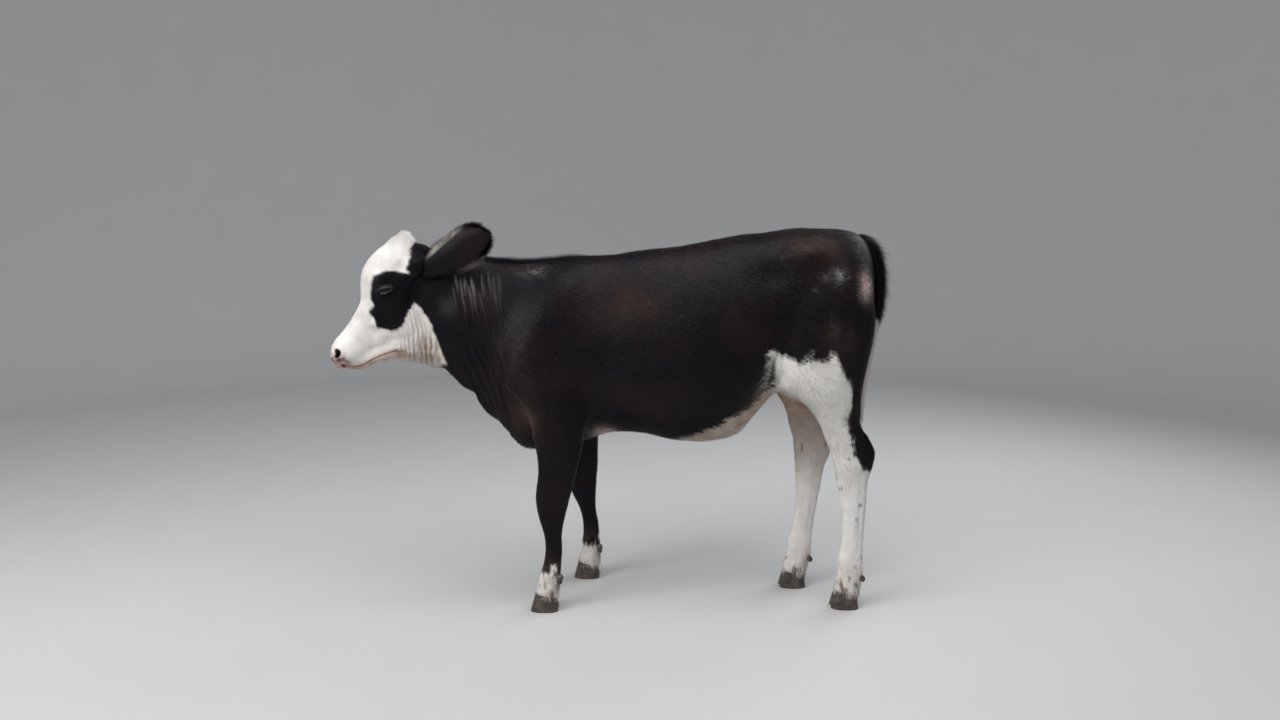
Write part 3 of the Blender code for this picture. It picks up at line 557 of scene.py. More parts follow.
# the mouth's line on the side of the face: level distance behind the muzzle, and height
MOUTH = ((-0.030, -0.002), (0.010, -0.003), (0.035, -0.012), (0.060, -0.017), (0.085, -0.013),
         (0.113, 0.004), (0.150, 0.020), (0.182, 0.029), (0.205, 0.026))
NOSTRIL = (0.029, 0.004)  # along the face and above its axis
# the pleated part of the cheek: level distance behind the muzzle, and height
CHEEK = ((0.185, 0.010), (0.185, 0.075), (0.215, 0.120), (0.228, 0.175), (0.262, 0.140),
         (0.300, 0.060), (0.322, 0.005), (0.300, -0.025), (0.230, -0.010))


def edge_ends(mesh):
    """The two points of each edge, as an array."""
    ends = np.empty(len(mesh.edges) * 2, np.int32)
    mesh.edges.foreach_get("vertices", ends)
    return ends.reshape(-1, 2)


def mesh_normals(mesh):
    """The normals at a mesh's points as one array."""
    normals = np.empty(len(mesh.vertices) * 3, np.float32)
    mesh.vertices.foreach_get("normal", normals)
    return normals.reshape(-1, 3).astype(float)


def noise(points, size, seed):
    """Smooth noise from -1 to 1: random numbers on a lattice of a given size, blended."""
    table = np.random.default_rng(seed).uniform(-1.0, 1.0, (32, 32, 32))
    place = points / np.asarray(size)
    cell = np.floor(place).astype(int)
    part = place - cell
    part = part * part * (3 - 2 * part)
    total = np.zeros(len(points))
    for corner in np.ndindex(2, 2, 2):
        weight = np.abs(1 - np.array(corner) - part).prod(1)
        i, j, k = ((cell + corner) % 32).T
        total += weight * table[i, j, k]
    return total


def bump(value, middle, width):
    """A bell curve over a value: 1 in the middle and about a third one width away."""
    return np.exp(-(((value - middle) / width) ** 2))


def outline_depth(u, v, outline):
    """How far points lie inside a closed outline of (u, v): negative outside it."""
    a = np.asarray(outline, float)
    b = np.roll(a, -1, axis=0)
    edge = b - a
    du = u[:, None] - a[:, 0]
    dv = v[:, None] - a[:, 1]
    t = np.clip((du * edge[:, 0] + dv * edge[:, 1]) / (edge**2).sum(1), 0.0, 1.0)
    away = np.hypot(du - t * edge[:, 0], dv - t * edge[:, 1]).min(1)
    crosses = (a[:, 1] > v[:, None]) != (b[:, 1] > v[:, None])
    rise = np.where(edge[:, 1] == 0, 1.0, edge[:, 1])
    right = u[:, None] < a[:, 0] + edge[:, 0] * dv / rise
    inside = (crosses & right).sum(1) % 2 == 1
    return np.where(inside, away, -away)


def path_distance(u, v, path):
    """How far points lie from an open line of (u, v)."""
    a = np.asarray(path[:-1], float)
    edge = np.asarray(path[1:], float) - a
    du = u[:, None] - a[:, 0]
    dv = v[:, None] - a[:, 1]
    t = np.clip((du * edge[:, 0] + dv * edge[:, 1]) / (edge**2).sum(1), 0.0, 1.0)
    return np.hypot(du - t * edge[:, 0], dv - t * edge[:, 1]).min(1)


def head_places(points):
    """Places on the head: along the face, off its axis, to the left, level back, and up."""
    away = points - np.array(MUZZLE)
    c, s = math.cos(HEAD_YAW), math.sin(HEAD_YAW)
    back = away[:, 0] * c + away[:, 1] * s
    left = away[:, 0] * s - away[:, 1] * c
    up = away[:, 2]
    along = back * math.cos(FACE_SLOPE) + up * math.sin(FACE_SLOPE)
    off = up * math.cos(FACE_SLOPE) - back * math.sin(FACE_SLOPE)
    return along, off, left, back, up


def eye_axes(side):
    """The eye's centre, and its axes towards the nose, up, and out of the head."""
    sign = LEFTWARD[side]
    turn = head_turn().to_3x3()
    out = (turn @ Vector((-0.12, -sign, 0.30))).normalized()
    fore = Vector((-math.cos(HEAD_YAW), -math.sin(HEAD_YAW), -0.22))
    fore = (fore - out * fore.dot(out)).normalized()
    up = out.cross(fore) * (-sign)
    if up.z < 0:
        up = -up
    centre = on_head(EYE[0], EYE[1], EYE[2] * sign)
    return np.array(centre), np.array(fore), np.array(up), np.array(out)


def in_eye_axes(points, side):
    """Places seen from the eye: towards the nose, up, and out of the head."""
    centre, fore, up, out = eye_axes(side)
    away = points - centre
    return away @ fore, away @ up, away @ out


def eye_opening(fore, up):
    """How far inside the eye's opening places lie, as a part of its height: 1 at its middle."""
    height = np.where(up > 0, SLIT_UP, SLIT_DOWN)
    return 1 - np.hypot(fore / SLIT_HALF, up / height)


def shape_lids(points):
    """Lids: skin laid over the eyeball, open along an almond, two folds above and one below.

    Near an eye the skin's height over the eye's middle becomes the ball's height plus a lid's
    thickness; within the almond it sinks under the ball.
    """
    for side in LEFTWARD:
        fore, up, out = in_eye_axes(points, side)
        axis = eye_axes(side)[3]
        ring = np.hypot(fore / 0.028, up / 0.024)
        near = (1 - ramp(ring, 0.62, 1.15)) * (out > -0.01)
        ball_top = np.sqrt(np.maximum(EYE_RADIUS**2 - fore**2 - up**2, 0.0))
        lid = ball_top + LID_THICK
        open_part = ramp(eye_opening(fore, up), -0.10, 0.12)
        lid = lid - 0.009 * open_part
        lid += 0.0013 * bump(eye_opening(fore, up), -0.16, 0.14)
        lid = np.where(ring > 0.62, np.maximum(lid, out - 0.002), lid)
        moved = out + near * (lid - out)
        for above in LID_FOLDS:
            bend = up - above + 9.0 * fore**2 * np.sign(above)
            moved -= 0.0015 * bump(bend, 0.0, 0.0012) * (np.abs(fore) < 0.024) * (out > -0.01)
        points = points + (moved - out)[:, None] * axis
    return points


def nostril(along, off, side):
    """A nostril's comma-shaped hole and the swelling round it, each a bell over a slanted oval."""
    a, b = along - NOSTRIL[0], off - NOSTRIL[1]
    slant = 0.8 * a + 0.6 * b
    cross = 0.8 * b - 0.6 * a - 22.0 * (slant - 0.004) ** 2
    hole = np.exp(-((slant / 0.0130) ** 4) - ((cross / 0.0068) ** 2)) * (side > 0.015)
    rim = np.exp(-((slant / 0.0220) ** 2) - ((cross / 0.0150) ** 2)) * (side > 0.015)
    return hole, rim


def shape_face(points, normals):
    """Nostrils, lips, the mouth's line, cheek pleats and the tear trough."""
    along, off, left, back, up = head_places(points)
    head = ramp(-back, -0.40, -0.36)
    side = np.abs(left)
    inward = np.zeros(len(points))
    hole, rim = nostril(along, off, side)
    inward += 0.0190 * hole - 0.0040 * rim
    line = path_distance(back, up, MOUTH)
    inward += head * (0.0042 * bump(line, 0.0, 0.0022) - 0.0012 * bump(line, 0.0065, 0.0035))
    inward += head * 0.0012 * bump(side, 0.0, 0.003) * (along < 0.02) * (up > -0.01)
    depth = ramp(outline_depth(back, up, CHEEK), 0.0, 0.014) * (side > 0.02)
    phase = back + 0.10 * (up - 0.08) + 0.006 * noise(points, 0.04, 3)
    pleat = np.cos(2 * math.pi * phase / 0.0125)
    inward += depth * 0.0011 * pleat * (0.6 + 0.7 * noise(points, 0.025, 4))
    trough = path_distance(along, off, ((0.240, -0.006), (0.205, -0.020), (0.165, -0.034)))
    inward += 0.0018 * bump(trough, 0.0, 0.006) * (side > 0.04)
    jaw = path_distance(back, up, ((0.230, 0.185), (0.262, 0.130), (0.300, 0.050), (0.318, 0.0)))
    inward += 0.0030 * bump(jaw, 0.0, 0.010) * (side > 0.035)
    return points - normals * inward[:, None]


def lower_crown(points):
    """The poll behind the forehead: what rises over CROWN_BASE loses a share of its height.

    The share grows in two smooth steps from the forehead back, and ends before the neck.
    """
    back, up = head_places(points)[3:]
    share = sum(step * ramp(back, start, end) for step, start, end in CROWN_STEPS)
    over = np.maximum(up - CROWN_BASE, 0.0)
    down = share * over * ramp(over, 0.0, 0.05)
    return points - down[:, None] * np.array((0.0, 0.0, 1.0))


def neck_ridges(points):
    """The upright folds behind the jaw, from 0 to 1 on their crests.

    Across its width each fold is a bell; it has a height, an upper end and a lower end of its own.
    """
    x, y, z = points.T
    warp = 0.0110 * noise(points, (0.055, 0.2, 0.10), 5)
    warp += 0.0030 * noise(points, (0.018, 0.2, 0.04), 7)
    place = (x + 0.52 + 0.17 * (z - 0.95) + warp) / NECK_FOLD
    fold = np.floor(place).astype(int)
    draw = np.random.default_rng(6)
    top, low, height = (draw.uniform(*span, FOLD_DRAWS) for span in FOLD_SPANS)
    pick = fold % FOLD_DRAWS
    crests = np.exp(-(((place - fold - 0.5) / 0.23) ** 2)) * height[pick]
    crests *= ramp(top[pick] - z, 0.0, 0.03) * ramp(z - low[pick], 0.0, 0.09)
    return crests * ramp(x, -0.505, -0.480) * ramp(-x, 0.330, 0.360) * (np.abs(y) > 0.03)


def shape_neck(points, normals):
    """Upright folds behind the jaw, slack folds down to the brisket, and the jugular groove."""
    x, y, z = points.T
    warp = 0.0075 * noise(points, (0.045, 0.2, 0.11), 5)
    inward = -0.0034 * neck_ridges(points)
    low = ramp(1 - np.hypot((x + 0.405) / 0.105, (z - 0.735) / 0.130), 0.0, 0.35)
    low *= np.abs(y) > 0.012
    slack = np.cos(2 * math.pi * (x + 0.42 * (z - 0.74) + 2 * warp) / 0.030)
    inward += low * 0.0022 * slack
    groove = path_distance(x, z, ((-0.455, 0.860), (-0.400, 0.780), (-0.315, 0.690)))
    inward += 0.0050 * bump(groove, 0.0, 0.016) * (np.abs(y) > 0.03)
    hang = sum(depth * bump(z, level, wide) for level, wide, depth in DEWLAP)
    inward += hang * bump(y, 0.0, 0.055) * ramp(-x, 0.24, 0.30) * ramp(x, -0.54, -0.50)
    crease = bump(path_distance(x, z, BRISKET_CREASE), 0.0, 0.008)
    swelling = bump(path_distance(x - 0.016, z - 0.006, BRISKET_CREASE), 0.0, 0.009)
    inward += (0.0050 * crease - 0.0030 * swelling) * (np.abs(y) > 0.03)
    return points - normals * inward[:, None]


def shape_trunk(points, normals):
    """Ribs, the flank's fold and slit, hollows of thigh and legs, the elbow and the spine."""
    x, y, z = points.T
    side = np.abs(y) > 0.05
    cage = ramp(1 - np.hypot((x - 0.19) / 0.25, (z - 0.82) / 0.20), 0.0, 0.5) * side
    ribs = np.cos(2 * math.pi * (x + 0.35 * (z - 0.85)) / 0.047)
    inward = cage * 0.0009 * ribs
    flank = path_distance(x, z, FLANK_FOLD)
    inward -= 0.0035 * bump(flank, 0.0, 0.012) * side
    above = path_distance(x, z, ((0.470, 0.790), (0.455, 0.715), (0.405, 0.660), (0.340, 0.620)))
    inward += 0.0035 * bump(above, 0.0, 0.020) * side
    slit = path_distance(x, z, ((0.499, 0.800), (0.497, 0.760), (0.503, 0.735)))
    inward += 0.0040 * bump(slit, 0.0, 0.0055) * side
    thigh = path_distance(x, z, ((0.805, 0.985), (0.775, 0.900), (0.745, 0.800), (0.745, 0.730)))
    inward += 0.0045 * bump(thigh, 0.0, 0.018) * side
    hind = squared_up(points, HIND_STEP, HIND_ROOT)
    gaskin = path_distance(hind, z, ((0.775, 0.610), (0.785, 0.560), (0.798, 0.520)))
    inward += 0.0065 * bump(gaskin, 0.0, 0.010) * (x > 0.4)
    cannon = path_distance(hind, z, ((0.779, 0.440), (0.779, 0.300), (0.777, 0.180)))
    inward += 0.0022 * bump(cannon, 0.0, 0.006) * (x > 0.4)
    fore = squared_up(points, FORE_STEP, FORE_ROOT)
    tendon = path_distance(fore, z, ((-0.170, 0.290), (-0.168, 0.230), (-0.170, 0.160)))
    inward += 0.0020 * bump(tendon, 0.0, 0.005) * (x < 0.2)
    knee = path_distance(fore, z, ((-0.205, 0.395), (-0.205, 0.330)))
    inward -= 0.0018 * bump(knee, 0.0, 0.014) * (x < 0.2)
    arm = path_distance(x, z, ((-0.100, 0.720), (-0.105, 0.640), (-0.125, 0.560)))
    inward += 0.0035 * bump(arm, 0.0, 0.014) * (np.abs(y) > 0.10)
    spine = 0.0012 * np.cos(2 * math.pi * x / 0.036) * bump(y, 0.0, 0.012)
    inward += spine * (z > 1.0) * ramp(x, 0.0, 0.3) * (x < 0.74)
    return points - normals * inward[:, None]


def sink_hollows(points, normals):
    """Flank hollows, the girth behind the shoulders and the temples, as in the solids."""
    turn = head_turn()
    for side in (-1.0, 1.0):
        flank = (0.490, 0.165 * side, 1.060)
        points = press(points, normals, flank, (0.070, 0.10, 0.050), 0.014)
        girth = (-0.020, 0.150 * side, 0.700)
        points = press(points, normals, girth, (0.040, 0.10, 0.140), 0.008)
        temple = on_head(0.345, -0.030, 0.088 * side)
        points = press(points, normals, temple, (0.022, 0.03, 0.020), 0.006, turn)
        behind_poll = on_head(0.425, -0.085, 0.045 * side)
        points = press(points, normals, behind_poll, (0.030, 0.040, 0.030), 0.013, turn)
    return points


def tuck_feet(points):
    """Draws the legs' ends in and up, so that they end inside the claws."""
    for rows in all_legs().values():
        x, y = foot_centre(rows)
        back, across = points[:, 0] - x, points[:, 1] - y
        near = (np.hypot(back, across) < 0.09) & (points[:, 2] < 0.10)
        edge = CORONET - CORONET_TILT * back
        under = near * ramp(edge - points[:, 2], -0.001, 0.008)
        points = points.copy()
        points[:, 0] -= TUCK_IN * under * back
        points[:, 1] -= TUCK_IN * under * across
        points[:, 2] = np.where(near, np.maximum(points[:, 2], edge - TUCK_DEPTH), points[:, 2])
    return points


def leg_at(rows, z):
    """The x of a leg's middle and of its rear edge at height z."""
    x, _, heights, behind = np.array(rows)[::-1, :4].T
    return float(np.interp(z, heights, x)), float(np.interp(z, heights, x + behind))


def foot_centre(rows):
    """The place on a leg's path at the height of the coronet."""
    return leg_at(rows, CORONET)[0], rows[-1][1]


def refine(mesh, zone):
    """Halves a mesh's faces within a zone, then rounds the new points off."""
    points = mesh_points(mesh)
    pick = np.nonzero(zone(points)[edge_ends(mesh)].all(1))[0]
    bm = bmesh.new()
    bm.from_mesh(mesh)
    bm.edges.ensure_lookup_table()
    chosen = [bm.edges[k] for k in pick]
    bmesh.ops.subdivide_edges(bm, edges=chosen, cuts=1, use_grid_fill=True)
    bm.to_mesh(mesh)
    bm.free()
    points = mesh_points(mesh)
    weight = zone(points)[:, None]
    points += weight * (relax(points, edge_ends(mesh), 3, 0.5, -0.52) - points)
    set_points(mesh, points)


def face_zone(points):
    """The head, and the neck's folds."""
    x, _, z = points.T
    head = (head_places(points)[3] < 0.345) & (x < -0.48)
    folds = (x > -0.52) & (x < -0.32) & (z > 0.80) & (z < 1.07)
    return head | folds


def fold_zone(points):
    """Mouth, cheeks, lids and the neck's folds."""
    _, _, left, back, up = head_places(points)
    x, y, z = points.T
    lips = (back < 0.22) & (up < 0.065)
    cheeks = (outline_depth(back, up, CHEEK) > -0.004) & (np.abs(left) > 0.02)
    neck = (np.hypot((x + 0.415) / 0.085, (z - 0.955) / 0.135) < 1.0) & (np.abs(y) > 0.03)
    return lips | cheeks | neck | near_eyes(points, 0.045)


def near_eyes(points, reach=0.030):
    """Places within reach of an eye's front."""
    near = np.zeros(len(points), bool)
    for side in LEFTWARD:
        fore, up, out = in_eye_axes(points, side)
        near |= (np.hypot(fore, up) < reach) & (out > -0.005) & (out < 0.06)
    return near


def thin_out(skin):
    """Merges faces on the broad trunk, where they are finer than its slow curves need."""
    x, _, z = mesh_points(skin.data).T
    group = skin.vertex_groups.new(name="broad")
    broad = np.nonzero((x > -0.30) & (z > 0.60))[0]
    group.add(broad.tolist(), 1.0, "REPLACE")
    fewer = skin.modifiers.new("fewer", "DECIMATE")
    fewer.vertex_group = group.name
    fewer.ratio = SKIN_FACES / len(triangles_of(skin.data))
    apply_modifiers(skin)
    skin.vertex_groups.clear()


def make_skin():
    """One skin for trunk, neck, head and legs, laid inside the solids by the coat's depth."""
    skin = make_object("skin", *joined(body_shapes()))
    fuse = skin.modifiers.new("fuse", "REMESH")
    fuse.mode = "VOXEL"
    fuse.voxel_size = VOXEL
    apply_modifiers(skin)
    mesh = skin.data
    ends = edge_ends(mesh)
    points = relax(mesh_points(mesh), ends, 5)
    blended = relax(points, ends, BLEND_ROUNDS, 0.5, 0.0)
    shoulder = ramp(-points[:, 0], -0.08, 0.0) * ramp(points[:, 2], 0.70, 0.80)
    softer = relax(blended, ends, SHOULDER_ROUNDS, 0.5, 0.0)
    blended += shoulder[:, None] * (softer - blended)
    trunk = ramp(points[:, 0], -0.46, -0.36) * ramp(points[:, 2], 0.55, 0.70)
    set_points(mesh, points + trunk[:, None] * (blended - points))
    refine(mesh, face_zone)
    refine(mesh, fold_zone)
    refine(mesh, near_eyes)
    thin_out(skin)
    mesh = skin.data
    set_points(mesh, sink_hollows(mesh_points(mesh), mesh_normals(mesh)))
    set_points(mesh, mesh_points(mesh) - COAT_DEPTH * mesh_normals(mesh))
    normals = mesh_normals(mesh)
    points = lower_crown(shape_face(mesh_points(mesh), normals))
    points = shape_neck(points, normals)
    points = shape_trunk(points, normals)
    set_points(mesh, tuck_feet(shape_lids(points)))
    mesh.shade_smooth()
    return skin


# ---------------------------------------------------------------- markings

# outlines on the head: level distance behind the muzzle, and height
BLAZE = ((-0.20, -0.30), (-0.20, 0.60), (0.256, 0.60), (0.256, 0.385), (0.238, 0.362),
         (0.229, 0.345), (0.226, 0.320), (0.218, 0.280), (0.231, 0.250), (0.238, 0.188),
         (0.275, 0.137), (0.307, 0.059), (0.329, 0.000), (0.338, -0.030), (0.320, -0.30))
EYE_PATCH = ((0.110, 0.223), (0.117, 0.263), (0.157, 0.280), (0.190, 0.276), (0.240, 0.262),
             (0.250, 0.188), (0.222, 0.151), (0.200, 0.109), (0.168, 0.092), (0.130, 0.110),
             (0.114, 0.138), (0.106, 0.153), (0.117, 0.175), (0.111, 0.196))
# outlines on the body: x and z
THIGH_PATCH = ((0.470, 0.836), (0.499, 0.824), (0.531, 0.808), (0.559, 0.798), (0.579, 0.788),
               (0.608, 0.799), (0.631, 0.796), (0.655, 0.802), (0.675, 0.824), (0.687, 0.795),
               (0.703, 0.757), (0.733, 0.716), (0.738, 0.693), (0.734, 0.662), (0.725, 0.631),
               (0.727, 0.598), (0.736, 0.560), (0.743, 0.534), (0.764, 0.486), (0.785, 0.455),
               (0.840, 0.436), (0.840, -0.10), (0.300, -0.10), (0.300, 0.480), (0.440, 0.560),
               (0.492, 0.690), (0.500, 0.745), (0.488, 0.800))
# painted highlights: pale streaks where the black coat shines: x, z, width, height, strength
PAINTED_SHINE = ((0.640, 1.056, 0.018, 0.012, 0.10), (0.688, 1.053, 0.022, 0.015, 0.26),
        (0.612, 1.010, 0.014, 0.014, 0.06), (-0.245, 1.064, 0.036, 0.017, 0.14),
        (-0.395, 1.105, 0.050, 0.016, 0.07), (0.768, 1.140, 0.016, 0.020, 0.10),
        (0.665, 0.895, 0.016, 0.030, 0.05))
# where it has a brown haze, partly brown hair and partly a painted sheen: x, z, width, height,
# strength
BROWN = ((0.620, 1.150, 0.090, 0.040, 1.0), (0.690, 0.860, 0.070, 0.050, 0.6),
         (-0.270, 0.615, 0.040, 0.050, 1.8), (0.100, 0.950, 0.120, 0.060, 0.5))
# the pale belly's outline: x and z
BELLY = ((0.170, 0.40), (0.170, 0.536), (0.250, 0.560), (0.330, 0.594), (0.420, 0.640),
         (0.480, 0.700), (0.560, 0.760), (0.600, 0.40))
# lines along the flank: the slit's shadow, and the pale hairs before it
SLIT = ((0.497, 0.800), (0.499, 0.765), (0.505, 0.728))
FLANK_HAIR = ((0.486, 0.800), (0.481, 0.755), (0.470, 0.715))
# the flank's lower fold, pale and brown along its ridge: partly hair, partly a painted highlight
LOW_FLANK = ((0.470, 0.715), (0.440, 0.655), (0.385, 0.605))
HIND_END = 0.42  # least x of the hind legs' markings
SOCK = 0.137  # height of the front legs' white
SHANK = 0.437  # height under which the hind legs are white all round


def ragged(points, reach, seed):
    """How far a marking's edge strays: coarse and fine noise."""
    coarse = noise(points, 0.022, seed)
    return reach * (0.6 * coarse + 0.4 * noise(points, 0.007, seed + 1))


def head_part(points):
    """1 on the head, 0 on the neck and lower down, with a short rise between."""
    return ramp(-points[:, 0], 0.46, 0.48) * (points[:, 2] > 0.70)


def blots(points, table):
    """Soft blots: the sum of bells over x and z, each with its own place, size and strength."""
    x, _, z = points.T
    return sum(share * bump(x, a, wide) * bump(z, b, high) for a, b, wide, high, share in table)


def body_rag(points):
    """How far the body's markings stray: calm high up, and combed level on the gaskin."""
    z = points[:, 2]
    rag = ragged(points, 0.006, 13) + 0.005 * noise(points, (0.006, 0.006, 0.03), 15)
    rag *= 1 - 0.55 * ramp(z, 0.68, 0.74)
    comb = bump(z, 0.575, 0.075) * bump(squared_up(points, HIND_STEP, HIND_ROOT), 0.727, 0.035)
    return rag + comb * 0.016 * noise(points, (0.05, 0.05, 0.0065), 16)


def face_white(points):
    """The white face, less the patches round the eyes and a spot under the chin.

    Also gives the blaze alone, which is what lies inside the face's outline.
    """
    _, _, left, back, up = head_places(points)
    rough = ragged(points, 0.006, 11)
    blaze = ramp(outline_depth(back, up, BLAZE) + rough, -0.003, 0.003)
    patch = ramp(outline_depth(back, up, EYE_PATCH) + rough, -0.003, 0.003)
    patch *= np.abs(left) > 0.035
    chin_spot = bump(back, 0.338, 0.020) * bump(up, -0.026, 0.012)
    white = blaze * (1 - patch) * head_part(points)
    return white * (1 - ramp(chin_spot, 0.2, 0.5)), blaze


def hind_white(points, normals, rag):
    """The hind legs' white: the thigh's outline outside, the inner face, and all of the shank.

    Also gives the inner face alone.
    """
    x, y, z = points.T
    level = squared_up(points, HIND_STEP, HIND_ROOT)
    outer = ramp(outline_depth(level, z, THIGH_PATCH) + rag, -0.003, 0.003)
    midline = np.interp(z, (0.0, 0.4, 0.95), (0.094, 0.105, 0.116))
    inner = (np.abs(y) < midline) & (normals[:, 1] * np.sign(y) < 0.25)
    inside = ramp(0.80 - z + rag, -0.003, 0.003) * inner
    inside *= ramp(0.775 + 0.10 * (y > 0) - level + rag, -0.003, 0.003)
    shank = ramp(SHANK - z, -0.004, 0.004) * ramp(0.455 - z + rag, 0.0, 0.01)
    hind = x > HIND_END
    return np.maximum.reduce([outer * ~inner, inside, shank]) * hind, inside * hind


def belly_white(points, normals, rag):
    """The pale belly: what lies in its outline and faces down, or lies behind the flank."""
    x, _, z = points.T
    under = ramp(outline_depth(x, z, BELLY) + 1.2 * rag, -0.004, 0.004)
    under *= ramp(ragged(points, 0.060, 11) - normals[:, 2], -0.05, 0.25) + (x > 0.46)
    return np.clip(under, 0, 1) * ramp(x, 0.17, 0.26)


def sock_white(points):
    """The front feet's white, which ends upwards in spikes."""
    x, _, z = points.T
    spikes = 0.045 * np.abs(noise(points * (1, 1, 0.22), 0.011, 17))
    spikes += 0.014 * noise(points, 0.03, 18)
    return ramp(SOCK - 0.020 + spikes - z, -0.002, 0.003) * (x < 0.10) * (x > -0.30)


def flank_hair(points):
    """Pale strands along the flank's edge; along its lower fold partly a painted highlight."""
    x, y, z = points.T
    high = bump(path_distance(x, z, FLANK_HAIR), 0.0, 0.007)
    # the lower fold's pale strands: partly hair, partly a painted highlight on its ridge
    low = bump(path_distance(x, z, LOW_FLANK), 0.0, 0.014)
    strands = noise(points + 0.5 * points[:, [2, 1, 0]], (0.05, 0.05, 0.007), 41)
    strands = 0.35 + 0.65 * ramp(strands, -0.5, 0.5)
    return (0.60 * high + 0.13 * low) * strands * (np.abs(y) > 0.05)


def painted_highlights(points):
    """Painted highlights: pale streaks where the black coat shines, and shine on the neck's folds,
    behind the jaw and on the lids.
    """
    x, y, z = points.T
    wave = np.cos(2 * math.pi * (x + 0.12 * z) / 0.0105 + 2.5 * noise(points, (0.03, 0.2, 0.02), 43))
    streaks = ramp(wave + 0.5 * noise(points, 0.01, 44), -0.3, 0.8) * (np.abs(y) > 0.03)
    # painted highlights: pale streaks at the places in the table, where the coat shines
    highlight = blots(points, PAINTED_SHINE) * streaks
    # painted highlights on the crests of the neck's folds, strongest near their top
    shine = ramp(z, 0.90, 1.02) + 1.3 * bump(x, -0.430, 0.032) * bump(z, 1.030, 0.035)
    highlight += 0.12 * neck_ridges(points) ** 1.5 * shine
    # a painted highlight behind the jaw
    highlight += 0.030 * bump(x, -0.508, 0.026) * bump(z, 0.957, 0.030) * (np.abs(y) > 0.03)
    # painted highlights along the lids' two upper folds
    for side in LEFTWARD:
        fore, high, out = in_eye_axes(points, side)
        for above in LID_FOLDS[:2]:
            bend = high - above - 0.0018 + 9.0 * fore**2
            arc = bump(bend, 0.0, 0.0024) * bump(fore, 0.0, 0.020)
            highlight += 0.085 * arc * (out > 0) * (out < 0.06)
    return highlight


def head_tan(points, blaze):
    """Tan of the lips, the streaked jowl and the chin; the jowl's streaks are partly stain and
    partly painted shade.

    Also gives the jowl's stains, the darkest of its streaks, which take from the white: partly real
    stain, partly painted shade.
    """
    back, up = head_places(points)[3:]
    lip = path_distance(back, up, MOUTH)
    lips = 0.85 * bump(lip, 0.0, 0.004) + 0.60 * bump(lip, 0.006, 0.009) * (up < 0.04)
    # the jowl's tan streaks: partly stain, partly painted shade on the cheek
    jowl = bump(back, 0.280, 0.042) * bump(up, 0.028, 0.052) * blaze
    phase = 2 * math.pi * (back + 0.10 * up) / 0.017 + 2 * noise(points, 0.03, 21)
    streak = 0.5 + 0.5 * np.sin(phase)
    stain_and_shade = jowl * ramp(streak + 0.3 * noise(points, 0.02, 22), 0.55, 1.0)
    mouth = np.interp(back, *zip(*MOUTH))
    chin = ramp(mouth - up, 0.0, 0.008) * ramp(0.27 - back, 0.0, 0.05)
    chin *= 0.80 + 0.35 * noise(points, (0.02, 0.02, 0.007), 20)
    tan = np.maximum.reduce([lips, jowl * (0.55 + 0.65 * streak), chin])
    return tan * head_part(points), stain_and_shade * head_part(points)


def body_tan(points, normals, under, inner_leg):
    """Tan of the belly, the hind legs' inner faces (darker towards the top, partly painted shade)
    and the muddy feet, and the brown haze, partly a painted sheen.
    """
    x, _, z = points.T
    belly = 0.88 * under * (0.85 + 0.25 * noise(points, 0.03, 19))
    belly *= 1 - ramp(np.abs(normals[:, 1]), 0.35, 0.75) * ramp(x, 0.47, 0.51)
    # tan of the hind legs' inner faces, darker towards the top: partly tan skin, partly painted
    # shade
    leg = (0.65 + 0.35 * ramp(z, 0.50, 0.68)) * ramp(z, 0.25, 0.60) * inner_leg
    mud = ramp(0.20 - z, 0.0, 0.16) * (0.35 + 0.55 * noise(points, 0.012, 23))
    mud = np.clip(mud, 0, 1) * 0.8 * (x > -0.40)
    # brown haze: partly brown hair, partly a painted sheen, also along the flank's lower fold
    brown = blots(points, BROWN) + 1.2 * bump(path_distance(x, z, LOW_FLANK), 0.0, 0.016)
    brown *= 0.085 * (1 + 0.6 * noise(points, 0.03, 28))
    return np.maximum.reduce([belly, leg, mud, brown])


def leg_specks(points):
    """Specks of mud on the legs, closer together near the ground."""
    x, _, z = points.T
    specks = noise(points, (0.011, 0.011, 0.017), 25) + 0.5 * noise(points, 0.05, 26)
    specks = ramp(specks + 0.35 * ramp(0.14 - z, 0.0, 0.08), 0.80, 0.95)
    return specks * (z < 0.50) * (x > -0.40)


def bare_skin(points):
    """Bare skin on the pin bones and behind the elbows."""
    x, y, z = points.T
    pin = bump(x, 0.772, 0.018) * bump(z, 1.022, 0.036) * (np.abs(y) > 0.05)
    elbow = bump(x, -0.030, 0.032) * bump(z, 0.560, 0.020) * (np.abs(y) < 0.17)
    return np.maximum(pin * (0.85 + 0.30 * noise(points, 0.010, 27)), 0.85 * elbow)


def nose_parts(points):
    """The bare nose with the nostrils' rims, and the nostrils' holes."""
    along, off, left = head_places(points)[:3]
    pad = np.clip(1.5 * bump(along, 0.008, 0.020) * bump(off, -0.012, 0.034), 0, 1)
    hole, rim = nostril(along, off, np.abs(left))
    hole = ramp(hole, 0.10, 0.35) * head_part(points)
    nose = np.maximum(pad, 0.9 * ramp(rim, 0.45, 0.75)) * head_part(points)
    return nose * (1 - hole), hole


